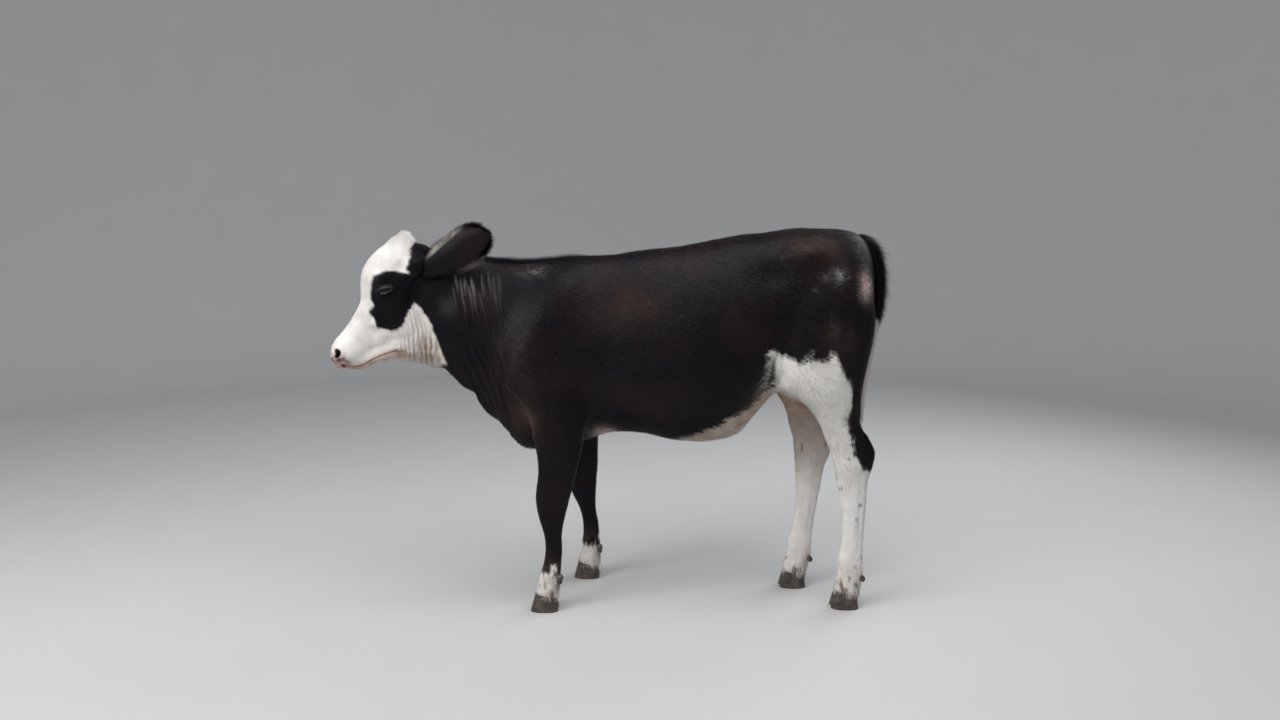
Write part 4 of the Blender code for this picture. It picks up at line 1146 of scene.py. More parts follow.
def markings(points, normals):
    """White, tan, bare and nose parts of the coat, each from 0 to 1, at places on the body.

    The white is the most of the face, the legs, the belly, the socks, the flank's hairs and
    the painted highlights, less the slit's painted shadow, stains that are partly painted shade,
    specks and painted shade on the hind legs. The nostrils' holes take white and tan away.
    """
    x, y, z = points.T
    rag = body_rag(points)
    face, blaze = face_white(points)
    legs, inner_leg = hind_white(points, normals, rag)
    under = belly_white(points, normals, rag)
    white = np.maximum.reduce([face, legs, under, sock_white(points)])
    white *= 1 - bump(path_distance(x, z, SLIT), 0.0, 0.0065) * (np.abs(y) > 0.05)
    # pale hairs on the flank, and painted highlights on the black coat
    white = np.maximum.reduce([white, flank_hair(points), painted_highlights(points)])
    tan, stain_and_shade = head_tan(points, blaze)
    # the jowl's stains darken the white: partly stain, partly painted shade
    white *= 1 - 0.52 * stain_and_shade
    white *= 1 - 0.80 * leg_specks(points)
    # painted shade: the white of the hind legs is made darker around the stifle
    white *= 1 - 0.14 * (x > HIND_END) * bump(z, 0.640, 0.160)
    tan = np.maximum(tan, body_tan(points, normals, under, inner_leg))
    nose, hole = nose_parts(points)
    white *= 1 - hole
    tan *= 1 - hole
    return white, np.clip(tan, 0, 1), np.clip(bare_skin(points), 0, 1), np.clip(nose, 0, 1)


def tones(white, tan, bare=0.0, nose=0.0):
    """The four parts of the coat under their names."""
    return {"white": white, "tan": tan, "bare": bare, "nose": nose}


def put_values(mesh, **values):
    """Stores a number for each point of a mesh, or one for them all, under each name."""
    for name, value in values.items():
        layer = mesh.attributes.new(name, "FLOAT", "POINT")
        layer.data.foreach_set("value", np.full(len(mesh.vertices), value, np.float32))


def repeated(values, roots, times):
    """Each root's numbers, or one number for all roots, given to every point of its hair."""
    return {name: np.repeat(np.full(roots, value), times) for name, value in values.items()}


# ---------------------------------------------------------------- the coat

WHORL = (0.300, 0.060)  # where the face's hair parts: along the face and above its axis
ACROSS = np.array([0.0, 1.0, 0.0])  # the trunk's and the neck's way across
PATCH = 0.0030  # size of a tuft's patch on its piece's bake map
EAR_TUFTS, TAIL_TUFTS = (9000, 2500), (16000, 4000)
SWITCH_LOCKS, LASHES = 420, 34  # and lashes on each upper lid


def laid(way, normals, share=1.0):
    """Directions of length 1, without a share of what points out along the normals."""
    way = way - share * normals * (way * normals).sum(1)[:, None]
    return way / np.linalg.norm(way, axis=1)[:, None]


def lie_of_hair(points, normals):
    """The way the coat lies: away from the face's whorl, back along the trunk, down the legs."""
    x, _, z = points.T
    face = points - np.array(on_head(*WHORL))
    face /= np.linalg.norm(face, axis=1)[:, None]
    neck = np.array((0.72, 0.0, -0.70))
    trunk = np.stack([np.ones(len(x)), 0 * x, -0.20 - 0.5 * ramp(1.05 - z, 0.0, 0.4)], 1)
    leg = np.array((0.12, 0.0, -1.0))
    on_face = ramp(-x, 0.50, 0.58)[:, None]
    on_neck = ramp(-x, 0.22, 0.36)[:, None] * (1 - on_face)
    on_leg = ramp(0.82 - z, 0.0, 0.22) * np.maximum(ramp(x, 0.44, 0.58), ramp(-x, 0.02, 0.08))
    on_leg = (on_leg * (ramp(-x, -0.95, 0.36) + (x > -0.34)))[:, None].clip(0, 1)
    way = on_face * face + on_neck * neck + (1 - on_face - on_neck) * trunk
    way = way * (1 - on_leg * (1 - on_face)) + leg * on_leg * (1 - on_face)
    swirl = np.stack([noise(points, 0.06, 31 + k) for k in range(3)], 1)
    return laid(way + 0.22 * swirl, normals)


def crest(points, normals):
    """The strip along the top of neck, withers and back: 1 on the neck's ridge, less behind."""
    x, _, z = points.T
    neck = ramp(x, -0.52, -0.46) * ramp(-x, 0.02, 0.16)
    return ramp(normals[:, 2], 0.75, 0.97) * (z > 0.9) * np.maximum(neck, 0.35 * (x > -0.46))


def ear_root(points, normals):
    """The tuft on top of the head in front of an ear's root."""
    along, off, left = head_places(points)[:3]
    near = bump(along, 0.418, 0.016) * bump(off, -0.060, 0.020)
    return near * ramp(normals[:, 2], 0.2, 0.6) * (np.abs(left) > 0.02)


def under_jaw(points, normals):
    """The lower edge of the jaw's angle, where the hair hangs."""
    back, up = head_places(points)[3:]
    return bump(back, 0.285, 0.055) * ramp(0.03 - up, 0.0, 0.03) * ramp(-normals[:, 2], 0.1, 0.6)


def hair_length(points, normals):
    """The coat's length: short on face and legs, longer on poll, brisket, belly and fetlocks."""
    x, y, z = points.T
    along, off = head_places(points)[:2]
    length = np.full(len(points), 0.0135)
    length -= 0.0045 * ramp(-x, 0.42, 0.52)
    length -= 0.0035 * ramp(0.45 - z, 0.0, 0.1)
    length -= 0.0035 * ramp(0.16 - along, 0.0, 0.12) * (x < -0.5)
    length += 0.0080 * ramp(along, 0.365, 0.45) * ramp(off, -0.09, -0.04) * (x < -0.5)
    length += 0.0060 * bump(z, 0.56, 0.05) * bump(x, -0.32, 0.10)
    length += 0.0090 * ramp(-normals[:, 2], 0.3, 0.9) * (z > 0.45) * (z < 0.75)
    fold = path_distance(x, z, FLANK_FOLD)
    length += 0.0110 * bump(fold, 0.0, 0.018) * (np.abs(y) > 0.05)
    length += 0.0070 * bump(z, 0.085, 0.030) * ramp(normals[:, 0], 0.0, 0.6)
    length += 0.0150 * bump(z, 0.062, 0.014)
    length += 0.0120 * crest(points, normals)
    length += 0.0060 * under_jaw(points, normals) + 0.0160 * ear_root(points, normals)
    length += 0.0050 * ramp(normals[:, 0], 0.5, 0.9) * (x > 0.55) * (z > 0.45)
    return length


def hair_lift(points, normals):
    """How steeply the hair stands off the skin, as rise over run."""
    x, _, z = points.T
    along, off = head_places(points)[:2]
    lift = np.full(len(points), 0.075)
    lift += 0.14 * ramp(along, 0.365, 0.45) * ramp(off, -0.09, -0.04) * (x < -0.5)
    lift += 0.16 * ramp(-normals[:, 2], 0.3, 0.9) * (z > 0.45) * (z < 0.75)
    lift += 0.15 * bump(z, 0.085, 0.030) * ramp(normals[:, 0], 0.0, 0.6)
    lift += 0.11 * bump(z, 0.056, 0.012)
    lift += 0.34 * crest(points, normals) + 0.30 * under_jaw(points, normals)
    lift += 1.10 * ear_root(points, normals)
    return lift


def triangles_of(mesh):
    """Corner numbers of a mesh's triangles."""
    mesh.calc_loop_triangles()
    corners = np.empty(len(mesh.loop_triangles) * 3, np.int32)
    mesh.loop_triangles.foreach_get("vertices", corners)
    return corners.reshape(-1, 3)


def scatter(mesh, zone, count, seed):
    """Places spread evenly over a mesh's triangles within a zone, with their normals."""
    rng = np.random.default_rng(seed)
    points, normals, corners = mesh_points(mesh), mesh_normals(mesh), triangles_of(mesh)
    middle = points[corners].mean(1)
    keep = zone(middle, normals[corners].mean(1))
    corners = corners[keep]
    a, b, c = (points[corners[:, k]] for k in range(3))
    reach = np.cumsum(np.linalg.norm(np.cross(b - a, c - a), axis=1))
    pick = (np.arange(count) + rng.uniform(0, 1, count)) / count * reach[-1]
    pick = np.searchsorted(reach, pick).clip(0, len(corners) - 1)
    p, q = rng.uniform(0, 1, (2, count))
    turn = p + q > 1
    p, q = np.where(turn, 1 - p, p), np.where(turn, 1 - q, q)
    share = np.stack([1 - p - q, p, q], 1)[..., None]
    place = (points[corners[pick]] * share).sum(1)
    normal = (normals[corners[pick]] * share).sum(1)
    return place, normal / np.linalg.norm(normal, axis=1)[:, None]


def tufts(name, roots, normals, way, length, width, lift, spot, seed, values):
    """Flat pointed tufts as closed four-sided spikes, joined in one mesh.

    A spike has its base across the way the hair lies, a low ridge at its root and its tip one
    length along; 'spot' gives each root's place on the unwrapped skin, where its patch goes,
    and 'values' the parts of the coat at each root.
    """
    rng = np.random.default_rng(seed)
    n = len(roots)
    across = np.cross(way, normals)
    way = way + across * rng.normal(0.0, 0.16, (n, 1))
    length = (length * rng.uniform(0.75, 1.2, n))[:, None]
    width = (width * rng.uniform(0.8, 1.2, n))[:, None]
    rise = (lift * rng.uniform(0.5, 1.6, n))[:, None]
    base = roots - normals * 0.0004
    tip = base + (way + normals * rise) * length
    ridge = base + 0.25 * (tip - base) + normals * width * 0.14
    sides = across * width / 2
    points = np.stack([base - sides, base + sides, ridge, tip], 1).reshape(-1, 3)
    start = 4 * np.arange(n)[:, None, None]
    faces = (start + np.array([[0, 1, 2], [0, 2, 3], [2, 1, 3], [0, 3, 1]])).reshape(-1, 3)
    obj = make_joined(name, points, faces)
    facing = normals + 0.15 * rng.normal(0, 1, (n, 3)) + 0.05 * way
    facing = np.repeat(facing / np.linalg.norm(facing, axis=1)[:, None], 4, axis=0)
    obj.data.normals_split_custom_set_from_vertices(facing.tolist())
    put_values(obj.data, shade=np.repeat(rng.uniform(0, 1, n), 4), **repeated(values, n, 4))
    patch = PATCH * np.array([[0.0, 0.0], [1.0, 0.0], [0.5, 0.6], [0.5, 1.0]])
    put_unwrap(obj.data, (spot[:, None] + patch).reshape(-1, 2))
    return obj


def make_joined(name, points, faces):
    """An object from arrays of points and triangles that already face outwards."""
    mesh = bpy.data.meshes.new(name)
    mesh.vertices.add(len(points))
    mesh.vertices.foreach_set("co", np.asarray(points, np.float32).ravel())
    mesh.loops.add(faces.size)
    mesh.loops.foreach_set("vertex_index", faces.astype(np.int32).ravel())
    mesh.polygons.add(len(faces))
    mesh.polygons.foreach_set("loop_start", np.arange(0, faces.size, faces.shape[1], dtype=np.int32))
    mesh.update(calc_edges=True)
    mesh.shade_smooth()
    obj = bpy.data.objects.new(name, mesh)
    bpy.context.scene.collection.objects.link(obj)
    return obj


def put_unwrap(mesh, places):
    """Gives a mesh its bake map from a place for each point."""
    layer = mesh.uv_layers.new(name="OFBake")
    corner = np.empty(len(mesh.loops), np.int32)
    mesh.loops.foreach_get("vertex_index", corner)
    layer.data.foreach_set("uv", places[corner].astype(np.float32).ravel())


def round_about(points, middle, along, side):
    """An unwrap round an axis: how far along it, and the angle about it, both from 0 to 1."""
    reach = points @ along
    reach = (reach - reach.min()) / (reach.max() - reach.min())
    away = points - middle
    up = np.cross(along, side)
    turn = np.arctan2(away @ side, away @ up) / (2 * math.pi) + 0.5
    return np.stack([reach, turn], 1)


def spread(spot):
    """Stretches an unwrap's places over the whole square, but for a rim and the last patch."""
    low, high = spot.min(0), spot.max(0)
    return 0.004 + 0.988 * (spot - low) / (high - low)


def leg_spot(points):
    """An unwrap of a pair of legs: height, and the angle about each leg's middle."""
    x, y, z = points.T
    if x.mean() < 0.2:
        table, centre = FRONT_LEG, 0.143
        level = squared_up(points, FORE_STEP, FORE_ROOT)
    else:
        table, centre = HIND_LEG, np.interp(z, (0.0, 0.9), (0.095, 0.116))
        level = squared_up(points, HIND_STEP, HIND_ROOT)
    heights, middles = np.array(table)[::-1, :2].T
    turn = np.arctan2(np.abs(y) - centre, level - np.interp(z, heights, middles))
    turn = turn / (2 * math.pi) + 0.5
    return np.stack([z, 0.49 * turn + np.where(y > 0, 0.51, 0.0)], 1)


def trunk_spot(points):
    """An unwrap of the trunk about its long axis."""
    return round_about(points, np.array([0.0, 0.0, 0.85]), np.array([1.0, 0.0, 0.0]), ACROSS)


def neck_spot(points):
    """An unwrap of the neck about its long axis."""
    return round_about(points, np.array([-0.42, 0.0, 0.90]), np.array([0.96, 0.0, -0.28]), ACROSS)


def head_spot(points):
    """An unwrap of the head about the face's axis."""
    turn = np.array(head_turn().to_3x3())
    middle = np.array(on_head(0.20, -0.07))
    return round_about(points, middle, turn[:, 0], turn[:, 1])


def is_head(p):
    """The head, up to the black behind its cheeks and poll."""
    return (p[:, 0] < -0.470) & (head_places(p)[3] < 0.36)


def is_front_leg(p):
    """The front legs, from the elbow down."""
    return (p[:, 2] < 0.590) & (p[:, 0] < -0.01) & (p[:, 0] > -0.30) & (np.abs(p[:, 1]) > 0.075)


def is_hind_leg(p):
    """The hind legs, from the stifle down."""
    return (p[:, 2] < 0.720) & (p[:, 0] > 0.48) & (np.abs(p[:, 1]) > 0.012)


def is_neck(p):
    """The neck with the dewlap."""
    return ~is_head(p) & (p[:, 0] < -0.330)


def is_trunk(p):
    """All that is left: shoulders, barrel, belly and rump."""
    return ~(is_head(p) | is_front_leg(p) | is_hind_leg(p) | is_neck(p))


def shown(p):
    """Skin above the claws and outside the eyes' openings."""
    clear = p[:, 2] > 0.052
    for side in LEFTWARD:
        fore, up, out = in_eye_axes(p, side)
        clear &= ~((eye_opening(fore, up) > -0.35) & (out > -0.02) & (out < 0.05))
    return clear


# name, tufts, a tuft's width, where its roots lie, which way they face, unwrap
COATS = (
    ("coat_head", 46000, 0.0016, is_head, lambda n: True, head_spot),
    ("coat_neck", 42000, 0.0021, is_neck, lambda n: True, neck_spot),
    ("coat_trunk_left", 49000, 0.0027, is_trunk, lambda n: n[:, 1] < 0.0, trunk_spot),
    ("coat_trunk_right", 49000, 0.0027, is_trunk, lambda n: n[:, 1] >= 0.0, trunk_spot),
    ("coat_front_legs", 42000, 0.0018, is_front_leg, lambda n: True, leg_spot),
    ("coat_hind_legs", 48000, 0.0022, is_hind_leg, lambda n: True, leg_spot),
)


def make_coat(skin, materials):
    """The short coat over the whole skin, piece by piece."""
    pieces = []
    for seed, (name, count, width, place, facing, unwrap) in enumerate(COATS):
        def zone(p, n, place=place, facing=facing):
            return place(p) & facing(n) & shown(p)

        roots, normals = scatter(skin.data, zone, count, 100 + seed)
        way = lie_of_hair(roots, normals)
        parts = tones(*markings(roots, normals))
        short = 1 - 0.85 * parts["nose"]
        piece = tufts(name, roots, normals, way, hair_length(roots, normals) * short, width * short,
                      hair_lift(roots, normals), spread(unwrap(roots)), 200 + seed, parts)
        piece.data.materials.append(materials["coat"])
        pieces.append(piece)
    return pieces


# ---------------------------------------------------------------- ears, tail, eyes, claws


def ear_lie(points, side):
    """An ear's axis, and for each place the way out from it, how far out and how far along.

    Far out is a part of the ear's half width there, far along goes from 0 at its root to 1.
    """
    rows = np.array(ear_rows(side))
    steps = 60
    middle = smooth_rows(rows, steps)
    along = rows[-1, :3] - rows[0, :3]
    total = np.linalg.norm(along)
    along /= total
    reach = (points - middle[0, :3]) @ along
    at = np.interp(reach, (middle[:, :3] - middle[0, :3]) @ along, np.arange(steps)).astype(int)
    out = points - middle[at, :3]
    out -= (out @ along)[:, None] * along
    width = np.linalg.norm(out, axis=1)
    return along, out / np.maximum(width, 1e-5)[:, None], width / middle[at, 5], reach / total


def make_ear(side, materials):
    """An ear's skin, a cupped leaf, and its hair."""
    along, across, _ = ear_axes(side)
    shape = loft(ear_rows(side), across * LEFTWARD[side], along, EAR_CUP, 40, 44)
    ear = make_object(f"skin_ear_{side}", *shape)
    mesh = ear.data
    normals = mesh_normals(mesh)
    points = mesh_points(mesh) - 0.0014 * normals
    set_points(mesh, points + normals * (0.0010 * noise(points, 0.018, 51))[:, None])
    mesh.shade_smooth()
    put_values(mesh, **tones(*ear_tones(mesh_points(mesh), side)), shade=0.0)
    mesh.materials.append(materials["coat"])
    return ear, ear_hair(mesh, side, materials)


def ear_hair(mesh, side, materials):
    """An ear's coat: short tufts all over it, and longer ones that fringe its edge."""
    count = EAR_TUFTS[0]
    over = scatter(mesh, lambda p, n: np.ones(len(p), bool), count, 60)
    fringe = scatter(mesh, lambda p, n: ear_lie(p, side)[2] > 0.86, count // 2, 62)
    roots, facing = (np.concatenate(pair) for pair in zip(over, fringe))
    on_fringe = np.arange(len(roots)) >= count
    tip, out, width, _ = ear_lie(roots, side)
    edge = ramp(width, 0.55, 0.95)
    way = tip + (0.30 + 0.30 * on_fringe[:, None]) * edge[:, None] * out
    way += 0.12 * np.random.default_rng(7).normal(0, 1, roots.shape)
    way = laid(way, facing, 1 - 0.8 * on_fringe[:, None])
    white, tan = ear_tones(roots, side)
    length = 0.009 + 0.003 * edge + (0.006 + 0.006 * ramp(white, 0.2, 0.6)) * on_fringe
    along, across, hollow = ear_axes(side)
    spot = round_about(roots, np.mean(roots, 0), along / np.linalg.norm(along),
                       np.array(across.normalized()))
    in_hollow = ramp(facing @ hollow, 0.2, 0.7) * ramp(1 - width, 0.0, 0.5)
    parts = tones(white, np.maximum(tan, 0.01 * in_hollow))
    hair = tufts(f"coat_ear_{side}", roots, facing, way, length, 0.0015 - 0.0005 * on_fringe,
                 0.05 + 0.03 * edge, spread(spot), 61, parts)
    hair.data.materials.append(materials["coat"])
    return hair


def ear_tones(points, side):
    """White and tan of an ear: pale on its front edge near the root and along its rear edge."""
    _, out, width, reach = ear_lie(points, side)
    upper = out[:, 2]
    front = ramp(width, 0.78, 0.88) * ramp(upper, 0.3, 0.6) * ramp(0.78 - reach, 0.0, 0.25)
    front *= ramp(reach, 0.10, 0.34)
    rear = ramp(width, 0.82, 0.92) * ramp(-upper, 0.3, 0.6) * bump(reach, 0.60, 0.16)
    pale = np.maximum(0.62 * front, 0.30 * rear) * (1 + 0.15 * noise(points, 0.02, 53))
    pale = np.clip(pale, 0, 1)
    return pale, 0.25 * pale


def tail_middle(t):
    """Places down the tail's middle, and its half widths, for t from 0 at its root to 1."""
    steps = 200
    rows = smooth_rows(TAIL, steps)
    at = np.clip(t * (steps - 1), 0, steps - 1.001)
    k, part = at.astype(int), (at % 1)[:, None]
    return (1 - part) * rows[k] + part * rows[k + 1]


def make_tail(materials):
    """The tail's skin, its rough hair and the long locks of its switch."""
    rows = [(x, y, z, 0.80 * a, 0.80 * a, 0.80 * b, 2.0, 2.0) for x, y, z, a, b in TAIL if z > 0.45]
    tail = make_object("skin_tail", *loft(rows, sides=24, count=90))
    mesh = tail.data
    mesh.shade_smooth()
    put_values(mesh, **tones(*tail_tones(mesh_points(mesh))), shade=0.5)
    mesh.materials.append(materials["coat"])
    return tail, tail_hair(mesh, materials), make_switch(materials)


def tail_hair(mesh, materials):
    """The tail's own coat: long and shaggy on the upper part's rear, and towards the switch."""
    count = TAIL_TUFTS[0]
    rng = np.random.default_rng(71)
    roots, facing = scatter(mesh, lambda p, n: p[:, 2] > 0.47, count, 70)
    z = roots[:, 2]
    way = np.array((0.05, 0.0, -1.0)) + facing * 0.15 + 0.10 * rng.normal(0, 1, (count, 3))
    way[:, 0] += 0.8 * ramp(z, 1.10, 1.16)
    rear = ramp(facing[:, 0], 0.1, 0.8) * ramp(z, 0.86, 0.98)
    length = 0.022 + 0.022 * ramp(0.80 - z, 0.0, 0.2) + 0.014 * rear * rng.uniform(0, 1, count)
    lift = 0.10 + rear * rng.uniform(0.15, 0.75, count)
    hair = tufts("coat_tail", roots, facing, laid(way, facing), length, 0.0020 + 0.0012 * rear,
                 lift, tail_spot(roots), 72, tones(*tail_tones(roots)))
    hair.data.materials.append(materials["coat"])
    return hair


def tail_spot(points):
    """An unwrap of the tail: the angle about its middle, and height."""
    middle, beside, heights = np.array(TAIL)[::-1, :3].T
    x, y, z = points.T
    turn = np.arctan2(y - np.interp(z, heights, beside), x - np.interp(z, heights, middle))
    return spread(np.stack([turn / (2 * math.pi) + 0.5, z], 1))


def tail_tones(points):
    """White and tan of the tail: black above, white below, with a ragged edge between."""
    edge = 0.925 + 0.03 * noise(points * (1, 1, 0.3), 0.008, 73) - points[:, 2]
    white = ramp(edge, -0.006, 0.010)
    return white, white * (0.22 + 0.18 * noise(points, 0.02, 74)).clip(0, 1)


def locks(name, starts, ends, bow, radius, seed, sides=5, rings=9):
    """Long locks of hair, each a tapering tube along a bowed line from its start to its end.

    A lock's middle is its start plus t times the way to its end, plus a bow that grows and
    fades with sin(pi t); its radius swells a little, then runs out to a point. Also gives the
    number of a lock's points.
    """
    rng = np.random.default_rng(seed)
    n = len(starts)
    t = np.linspace(0.0, 1.0, rings)[None, :, None]
    middle = starts[:, None] + t * (ends - starts)[:, None]
    middle = middle + np.sin(math.pi * t) * bow[:, None]
    wave = rng.uniform(0, 2 * math.pi, (n, 1, 1)) + 9.0 * t
    middle = middle + 0.0018 * t * np.concatenate([np.sin(wave), np.cos(wave), 0 * wave], 2)
    along = np.gradient(middle, axis=1)
    along /= np.linalg.norm(along, axis=2)[..., None]
    side = np.cross(along, (0.0, 1.0, 0.0))
    side /= np.linalg.norm(side, axis=2)[..., None]
    over = np.cross(along, side)
    turn = np.linspace(0, 2 * math.pi, sides, endpoint=False)
    girth = radius[:, None, None] * (1.0 - t**2.2) ** 0.8 * (0.75 + 0.5 * np.sin(math.pi * t))
    girth = np.maximum(girth, 0.00012)[..., None]
    ring = np.cos(turn)[:, None] * side[:, :, None] + np.sin(turn)[:, None] * over[:, :, None]
    points = (middle[:, :, None] + girth * ring).reshape(-1, 3)
    walls = wall_faces(rings, sides)
    j = np.arange(1, sides - 1)
    cap = np.stack([0 * j, j, j + 1], -1)
    end = cap[:, ::-1] + (rings - 1) * sides
    loop = np.concatenate([walls[:, [0, 3, 2]], walls[:, [0, 2, 1]], cap, end])
    faces = (np.arange(n)[:, None, None] * rings * sides + loop).reshape(-1, 3)
    obj = make_joined(name, points, faces)
    face_outwards(obj.data)
    obj.data.shade_smooth()
    return obj, rings * sides


def make_switch(materials):
    """The tail's switch: long hair that falls from the lower tail."""
    count = SWITCH_LOCKS
    rng = np.random.default_rng(81)
    t = rng.uniform(0.52, 0.86, count)
    core = tail_middle(t)
    turn = rng.uniform(0, 2 * math.pi, count)
    ring = np.stack([np.cos(turn), np.sin(turn), 0 * turn], 1)
    starts = core[:, :3] + ring * 0.55 * np.stack([core[:, 3], core[:, 4], 0 * turn], 1)
    fall = tail_middle(np.clip(t + rng.uniform(0.16, 0.40, count), 0.0, 0.985))
    swell = rng.uniform(0.2, 0.85, count)[:, None]
    ends = fall[:, :3] + ring * swell * np.stack([fall[:, 3], fall[:, 4], 0 * turn], 1)
    bow = ring * rng.uniform(0.0, 0.006, (count, 1))
    hair, per = locks("hair_switch", starts, ends, bow, rng.uniform(0.0012, 0.0024, count), 82)
    white, tan = tail_tones(starts)
    values = {**tones(white, tan + 0.15), "shade": rng.uniform(0, 1, count)}
    put_values(hair.data, **repeated(values, count, per))
    spot = np.stack([turn / (2 * math.pi), t], 1)
    patch = PATCH * rng.uniform(0, 1, (per, 2))
    put_unwrap(hair.data, (spread(spot)[:, None] + patch).reshape(-1, 2))
    hair.data.materials.append(materials["coat"])
    return hair


def make_lashes(materials):
    """Lashes that droop from each upper lid."""
    starts, ends = [], []
    for side in LEFTWARD:
        centre, fore, up, out = eye_axes(side)
        t = np.linspace(-0.85, 0.85, LASHES)[:, None]
        high = SLIT_UP * np.sqrt(1 - t**2) + 0.0012
        place = centre + fore * t * SLIT_HALF + up * high
        place = place + out * (np.sqrt(EYE_RADIUS**2 - (t * SLIT_HALF) ** 2 - high**2) + 0.0022)
        starts.append(place)
        ends.append(place + out * 0.010 - up * (0.009 + 0.002 * np.cos(9 * t)) + fore * t * 0.004)
    starts, ends = np.concatenate(starts), np.concatenate(ends)
    bow = np.zeros_like(starts)
    hair, per = locks("lashes", starts, ends, bow, np.full(len(starts), 0.00055), 91, 4, 5)
    put_values(hair.data, **tones(0.0, 0.0), shade=0.3)
    spot = np.linspace((0.02, 0.02), (0.95, 0.95), len(starts))
    patch = PATCH * np.random.default_rng(92).uniform(0, 1, (per, 2))
    put_unwrap(hair.data, (spot[:, None] + patch).reshape(-1, 2))
    hair.data.materials.append(materials["coat"])
    return hair


def make_eye(side, materials):
    """An eyeball with a bulging cornea.

    A point at angle a off the axis lies at the ball's radius, plus a bulge that fades as the
    angle grows past the cornea's edge. 'gaze' stores the sine of that angle, and 'pupil' the
    same over an oval that is longer level; both are past 1 on the ball's back.
    """
    centre, fore, up, out = eye_axes(side)
    rings, sides = 40, 64
    a = np.linspace(0.0, math.pi, rings + 2)[1:-1, None]
    b = np.linspace(0, 2 * math.pi, sides, endpoint=False)[None]
    radius = EYE_RADIUS - 0.0005 + 0.0011 * (1 - ramp(a, 0.42, 0.62))
    sideways = np.sin(a) * radius
    place = (out * (np.cos(a) * radius)[..., None] + fore * (sideways * np.cos(b))[..., None]
             + up * (sideways * np.sin(b))[..., None])
    points = centre + place.reshape(-1, 3)
    poles = centre + np.outer((EYE_RADIUS + 0.0006, -EYE_RADIUS + 0.0005), out)
    points = np.concatenate([points, poles])
    eye = make_object(f"eyeball_{side}", points, tube_faces(rings, sides))
    eye.data.shade_smooth()
    level, high, ahead = in_eye_axes(mesh_points(eye.data), side)
    put_values(eye.data, gaze=np.hypot(level, high) / EYE_RADIUS + (ahead < 0),
               pupil=np.hypot(level / PUPIL_STRETCH, high) / EYE_RADIUS + (ahead < 0))
    eye.data.materials.append(materials["eye"])
    return eye


def make_claw(name, x, y, outward, materials):
    """One claw, finely ringed: a rounded outline longer in the toe, worn flat below.

    From sole to coronet the outline shrinks, and slow waves up the wall make its growth rings.
    """
    sides, rings = 72, 26
    turn = np.linspace(0.0, 2 * math.pi, sides, endpoint=False)[None]
    t = np.concatenate([[0.0, 0.0], np.linspace(0.02, 1.0, rings - 2)])[:, None]
    c, s = np.cos(turn), np.sin(turn)
    wave = 0.0004 * np.sin(34 * t + 1.5 * np.sin(2 * turn)) * ramp(t, 0.05, 0.2)
    toe = CLAW_TOE + t * (CORONET_TOE - INSET_TOE - CLAW_TOE) + wave
    heel = CLAW_HEEL + t * (CORONET_HEEL - INSET_HEEL - CLAW_HEEL) + wave
    heel -= 0.0012 * bump(t, 0.5, 0.2)
    sole = 1 - 0.06 * (t == 0.0)
    width = CLAW_WIDTH * (1 - 0.18 * t) * sole
    sole[0] = 0.0
    back = np.sign(c) * np.abs(c) ** (2 / 2.4) * np.where(c > 0, heel, toe) * sole
    side = np.where(s > 0, width * 0.62, width * 0.38) * np.sign(s) * np.abs(s) ** (2 / 2.6)
    side = np.maximum(side + wave * np.sign(s), -width * 0.30) * (sole > 0)
    height = t * (CORONET - CORONET_TILT * back)
    middle = CLEFT / 2 + CLAW_WIDTH * 0.30
    ring = np.stack(np.broadcast_arrays(x + back, y + outward * (middle + side), height), -1)
    top = ring[-1].mean(0) + (0.0, 0.0, -0.001)
    points = np.concatenate([ring[1:].reshape(-1, 3), [ring[1].mean(0), top]])
    horn = make_object(name, points, tube_faces(rings - 1, sides))
    horn.data.shade_smooth()
    horn.data.set_sharp_from_angle(angle=math.radians(50.0))
    horn.data.materials.append(materials["horn"])
    return horn


def make_feet(materials):
    """Claws and dewclaws of all four feet, each with the node it stands for."""
    made = []
    for name, rows in all_legs().items():
        x, y = foot_centre(rows)
        place = name.replace("leg_", "")
        rear = leg_at(rows, DEWCLAW_Z)[1]
        for word, outward in (("outer", np.sign(y)), ("inner", -np.sign(y))):
            horn = make_claw(f"horn_{place}_{word}", x, y, outward, materials)
            made.append((horn, f"claw_{place}_{word}"))
            spot = (rear - 0.005, y + outward * DEWCLAW_OFF, DEWCLAW_Z)
            lean = Matrix.Rotation(math.radians(DEWCLAW_LEAN), 4, "Y")
            radii = [SPUR_SIZE * r for r in DEWCLAW_RADII]
            small = make_object(f"spur_{place}_{word}", *ball(spot, radii, lean))
            small.data.shade_smooth()
            small.data.materials.append(materials["horn"])
            made.append((small, f"dewclaw_{place}_{word}"))
    return made


# ---------------------------------------------------------------- finishes

MIX_A, MIX_B, MIX_RESULT = 6, 7, 2  # the colour sockets of a Mix node


